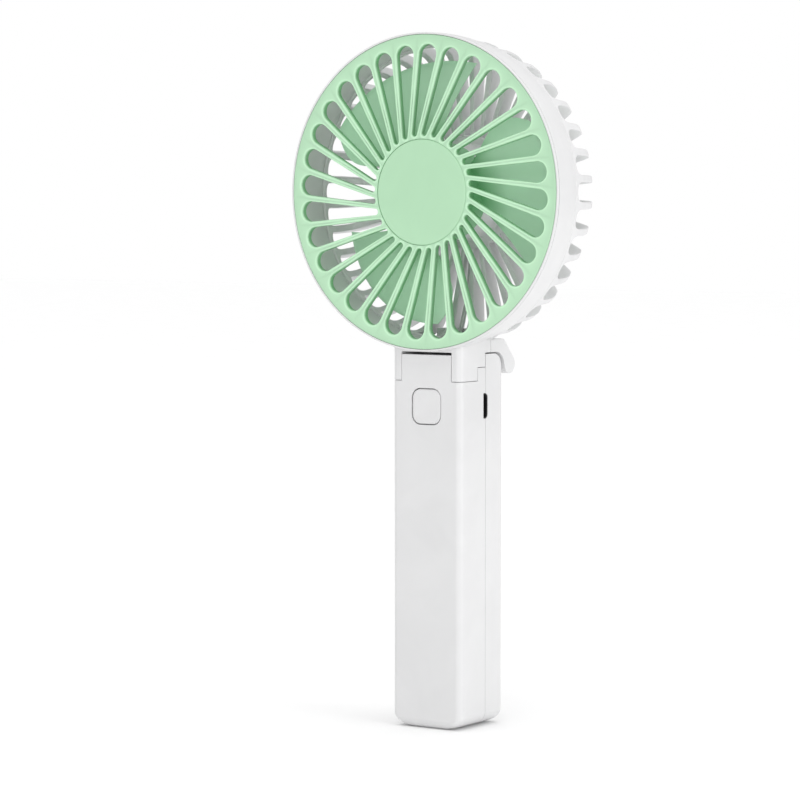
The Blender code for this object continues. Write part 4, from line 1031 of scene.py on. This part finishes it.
def front_grille():
    """All pitches of the grille, each a set of rings from the slot's edge out to the pitch's boundary."""
    slot, edge = slot_ring(), pitch_ring()
    count = len(slot)
    verts, faces, painted_light = [], [], []
    layers = []
    for s, e in zip(slot, edge):
        length = (e - s).length
        layers.append([(s.lerp(e, q / length), q) for q in ring_steps(length)])
    depth_layers = len(layers[0])
    start = (SIDE_STEPS + CORNER_STEPS, SIDE_STEPS + OUTER_STEPS - CORNER_STEPS)
    hub_start = 2 * SIDE_STEPS + OUTER_STEPS
    for k in range(SLOTS):
        turn = Matrix.Rotation(-k * SLOT_PITCH, 2)

        def add(point, depth, ridge=0.0):
            flat = turn @ point
            verts.append((flat.x, FRONT_Y + depth, HEAD_Z + flat.y))
            painted_light.append(ridge)
            return len(verts) - 1

        # Painted highlight along the raised rims round the slots.
        front = [[add(layers[i][j][0], grille_front(*layers[i][j]), ridge_highlight(layers[i][j][1]))
                  for i in range(count)] for j in range(depth_layers)]
        # Painted shade: the slot walls are painted darker, most at the back.
        mid_wall = [add(point, GRILLE_FRONT + LIP_ROUND + 0.35, -0.75) for point in slot]
        wall = [add(point, GRILLE_FRONT + GRILLE_THICK, -0.85) for point in slot]
        back = [add(point, GRILLE_FRONT + GRILLE_THICK) for point in edge]
        rings = [back, wall, mid_wall] + front
        for low, high in zip(rings, rings[1:]):
            for i in range(count):
                j = (i + 1) % count
                faces.append((low[i], low[j], high[j], high[i]))
        for i in range(start[0], start[1]):
            faces.append((front[-1][i], front[-1][i + 1], back[i + 1], back[i]))
        floor_centre = add(Vector((0.0, 0.0)), HUB_RECESS_FLOOR)
        back_centre = add(Vector((0.0, 0.0)), HUB_BACK)
        floor = {i: add(edge[i % count], HUB_RECESS_FLOOR) for i in range(hub_start, count + 1)}
        for i in range(hub_start, count):
            n = (i + 1) % count
            faces.append((front[-1][i], front[-1][n], floor[i + 1], floor[i]))
            faces.append((floor[i], floor[i + 1], floor_centre))
            faces.append((back[i], back[n], back_centre))
    obj = mesh_object(verts, faces, painted_light)
    weld(obj, 0.003)
    return finish("grille_disc", obj, MINT, "head", "front_grille", 50.0)


def grille_centre_cap():
    front = GRILLE_FRONT - 0.12
    radius = HUB_RECESS_R - 0.03
    profile = [(0.0, front)]
    profile += [(r, front + 0.05 * (r / radius) ** 4) for r in (4.0, 8.0, 11.0, 13.5, 15.2)]
    for k in range(7):
        turn = 0.5 * pi * k / 6
        profile.append((radius - 0.6 * (1.0 - sin(turn)), front + 0.06 + 0.55 * (1.0 - cos(turn))))
    profile += [(radius, HUB_RECESS_FLOOR - 0.1), (0.0, HUB_RECESS_FLOOR - 0.1)]
    disc = lathe(profile, 160)
    return finish("grille_badge_disc", disc, MINT_CAP, "head", "grille_centre_cap")


# ---------------------------- impeller
def between(pair, share):
    return pair[0] + (pair[1] - pair[0]) * share


def blade_point(radius, across, face):
    """A point on one face of the first blade; across is 0 at its front edge and 1 at its rear edge."""
    share = min(1.0, max(0.0, (radius - IMPELLER_HUB_R) / (BLADE_TIP_R - IMPELLER_HUB_R)))
    front = BLADE_FRONT_AT - BLADE_BULGE * sin(pi * share ** 1.2)
    rear = BLADE_FRONT_AT + between(BLADE_ARC, share ** 0.6)
    depth = between((between(BLADE_FRONT_DEPTH, share), between(BLADE_REAR_DEPTH, share)), across ** 1.3)
    middle = 1.0 - abs(2.0 * across - 1.0) ** 6
    tip = 1.0 - max(0.0, (share - 0.93) / 0.07) ** 2
    half = 0.5 * BLADE_THICK * (0.25 + 0.75 * middle * tip)
    return radius, between((front, rear), across), depth + face * half


def blade(turn):
    radii = [IMPELLER_HUB_R - 0.8] + [16.5 + 22.0 * k / 16 for k in range(17)]
    radii += [39.3, 40.0, 40.5, 40.8, BLADE_TIP_R]
    shares = [0.5 * (1.0 - cos(pi * k / 28)) for k in range(29)]
    steps = len(shares) - 1
    verts, index = [], {}
    for face in (-1, 1):
        for i, radius in enumerate(radii):
            for j, across in enumerate(shares):
                r, angle, depth = blade_point(radius, across, face)
                index[face, i, j] = len(verts)
                verts.append((r * sin(turn + angle), FRONT_Y + depth, HEAD_Z + r * cos(turn + angle)))
    faces = []
    last = len(radii) - 1
    for i in range(last):
        for j in range(steps):
            for face in (-1, 1):
                faces.append((index[face, i, j], index[face, i, j + 1],
                              index[face, i + 1, j + 1], index[face, i + 1, j]))
        for j in (0, steps):
            faces.append((index[-1, i, j], index[-1, i + 1, j], index[1, i + 1, j], index[1, i, j]))
    for j in range(steps):
        for i in (0, last):
            faces.append((index[-1, i, j], index[-1, i, j + 1], index[1, i, j + 1], index[1, i, j]))
    return mesh_object(verts, faces)


def impeller():
    front, rear, inner_r = IMPELLER_HUB_FRONT, IMPELLER_HUB_REAR, IMPELLER_HUB_R - IMPELLER_SKIN
    back_of_front = front + IMPELLER_SKIN
    corners = [(0.0, front), (IMPELLER_HUB_R, front), (IMPELLER_HUB_R, rear), (inner_r, rear),
               (inner_r, back_of_front), (3.0, back_of_front), (3.0, rear - 0.6),
               (SHAFT_BORE_R, rear - 0.6), (SHAFT_BORE_R, front + 1.0), (0.0, front + 1.0)]
    body = lathe(rounded_profile(corners, 0.5), 128)
    for k in range(BLADES):
        join(body, blade(k * TAU / BLADES))

    # Painted shade: the green is painted darker towards the hub.
    def hub_painted_shade(point):
        radius = hypot(point.x, point.z - HEAD_Z)
        return HUB_SHADE * min(1.0, max(0.0, (HUB_SHADE_R - radius) / HUB_SHADE_SPAN))

    return finish("impeller_blades", body, LIGHTENED_MINT_BLADE, "rotor", "impeller",
                  painted_shade=hub_painted_shade)


# ---------------------------- studio
def floor():
    """Pale paper, with a faint fibre in its colour and gloss."""
    material, tree, shader = new_material("floor_paper")
    fibre = noise(tree, 30.0, 5.0, 0.6)
    base = mix(tree, remap(tree, fibre, 0.0, 1.0), (0.93, 0.93, 0.93), (0.95, 0.95, 0.95))
    paint(tree, shader, base, remap(tree, fibre, 0.75, 0.85))
    mesh = bpy.data.meshes.new("floor")
    corners = [(x * FLOOR_HALF, y * FLOOR_HALF, 0.0) for x, y in ((-1, -1), (1, -1), (1, 1), (-1, 1))]
    mesh.from_pydata(corners, [], [(0, 1, 2, 3)])
    mesh.materials.append(material)
    obj = add_object("floor", mesh)


def area_light(name, place, width, height, power):
    """A rectangular lamp turned to the middle of the object."""
    light = bpy.data.lights.new(name, "AREA")
    light.shape = "RECTANGLE"
    light.size = width
    light.size_y = height
    light.energy = power
    obj = add_object(name, light)
    obj.location = place
    obj.rotation_euler = (Vector(LIT_POINT) - Vector(place)).to_track_quat("-Z", "Y").to_euler()


def lights():
    world = bpy.data.worlds.new("studio")
    bpy.context.scene.world = world
    world.use_nodes = True
    background = world.node_tree.nodes["Background"]
    background.inputs["Color"].default_value = (1.0, 1.0, 1.0, 1.0)
    path = world.node_tree.nodes.new("ShaderNodeLightPath")
    level = world.node_tree.nodes.new("ShaderNodeMapRange")
    level.inputs["To Min"].default_value = WORLD_LIGHT
    level.inputs["To Max"].default_value = WORLD_SEEN
    world.node_tree.links.new(path.outputs["Is Camera Ray"], level.inputs["Value"])
    world.node_tree.links.new(level.outputs["Result"], background.inputs["Strength"])
    area_light("front_fill", (0.5, -1.6, 0.5), 1.2, 1.2, 4.6)
    area_light("side_fill", (2.2, -0.2, 0.35), 1.2, 1.6, 18.5)
    sun = bpy.data.lights.new("overhead", "SUN")
    sun.energy = 1.35
    sun.angle = radians(70.0)
    add_object("overhead", sun)


def camera():
    head = Vector((0.0, 0.0, HEAD_Z))
    outward = Vector((sin(EYE_AZIMUTH), -cos(EYE_AZIMUTH), 0.0))
    right = Vector((cos(EYE_AZIMUTH), sin(EYE_AZIMUTH), 0.0))
    eye = head + outward * EYE_DISTANCE
    aim = Vector((0.0, FRONT_Y, HEAD_Z + AIM_UP)) + right * AIM_RIGHT
    lens = bpy.data.cameras.new("camera")
    lens.lens = LENS
    obj = add_object("camera", lens)
    obj.location = eye * MM
    obj.rotation_euler = (aim - eye).to_track_quat("-Z", "Y").to_euler()
    bpy.context.scene.camera = obj


camera()
dress_cad_nodes()
handle_front_shell()
handle_rear_shell()
usb_port()
button_cap()
head_housing()
rear_guard()
motor_cover()
front_grille()
grille_centre_cap()
impeller()
floor()
lights()
bpy.context.scene.view_settings.view_transform = "Standard"
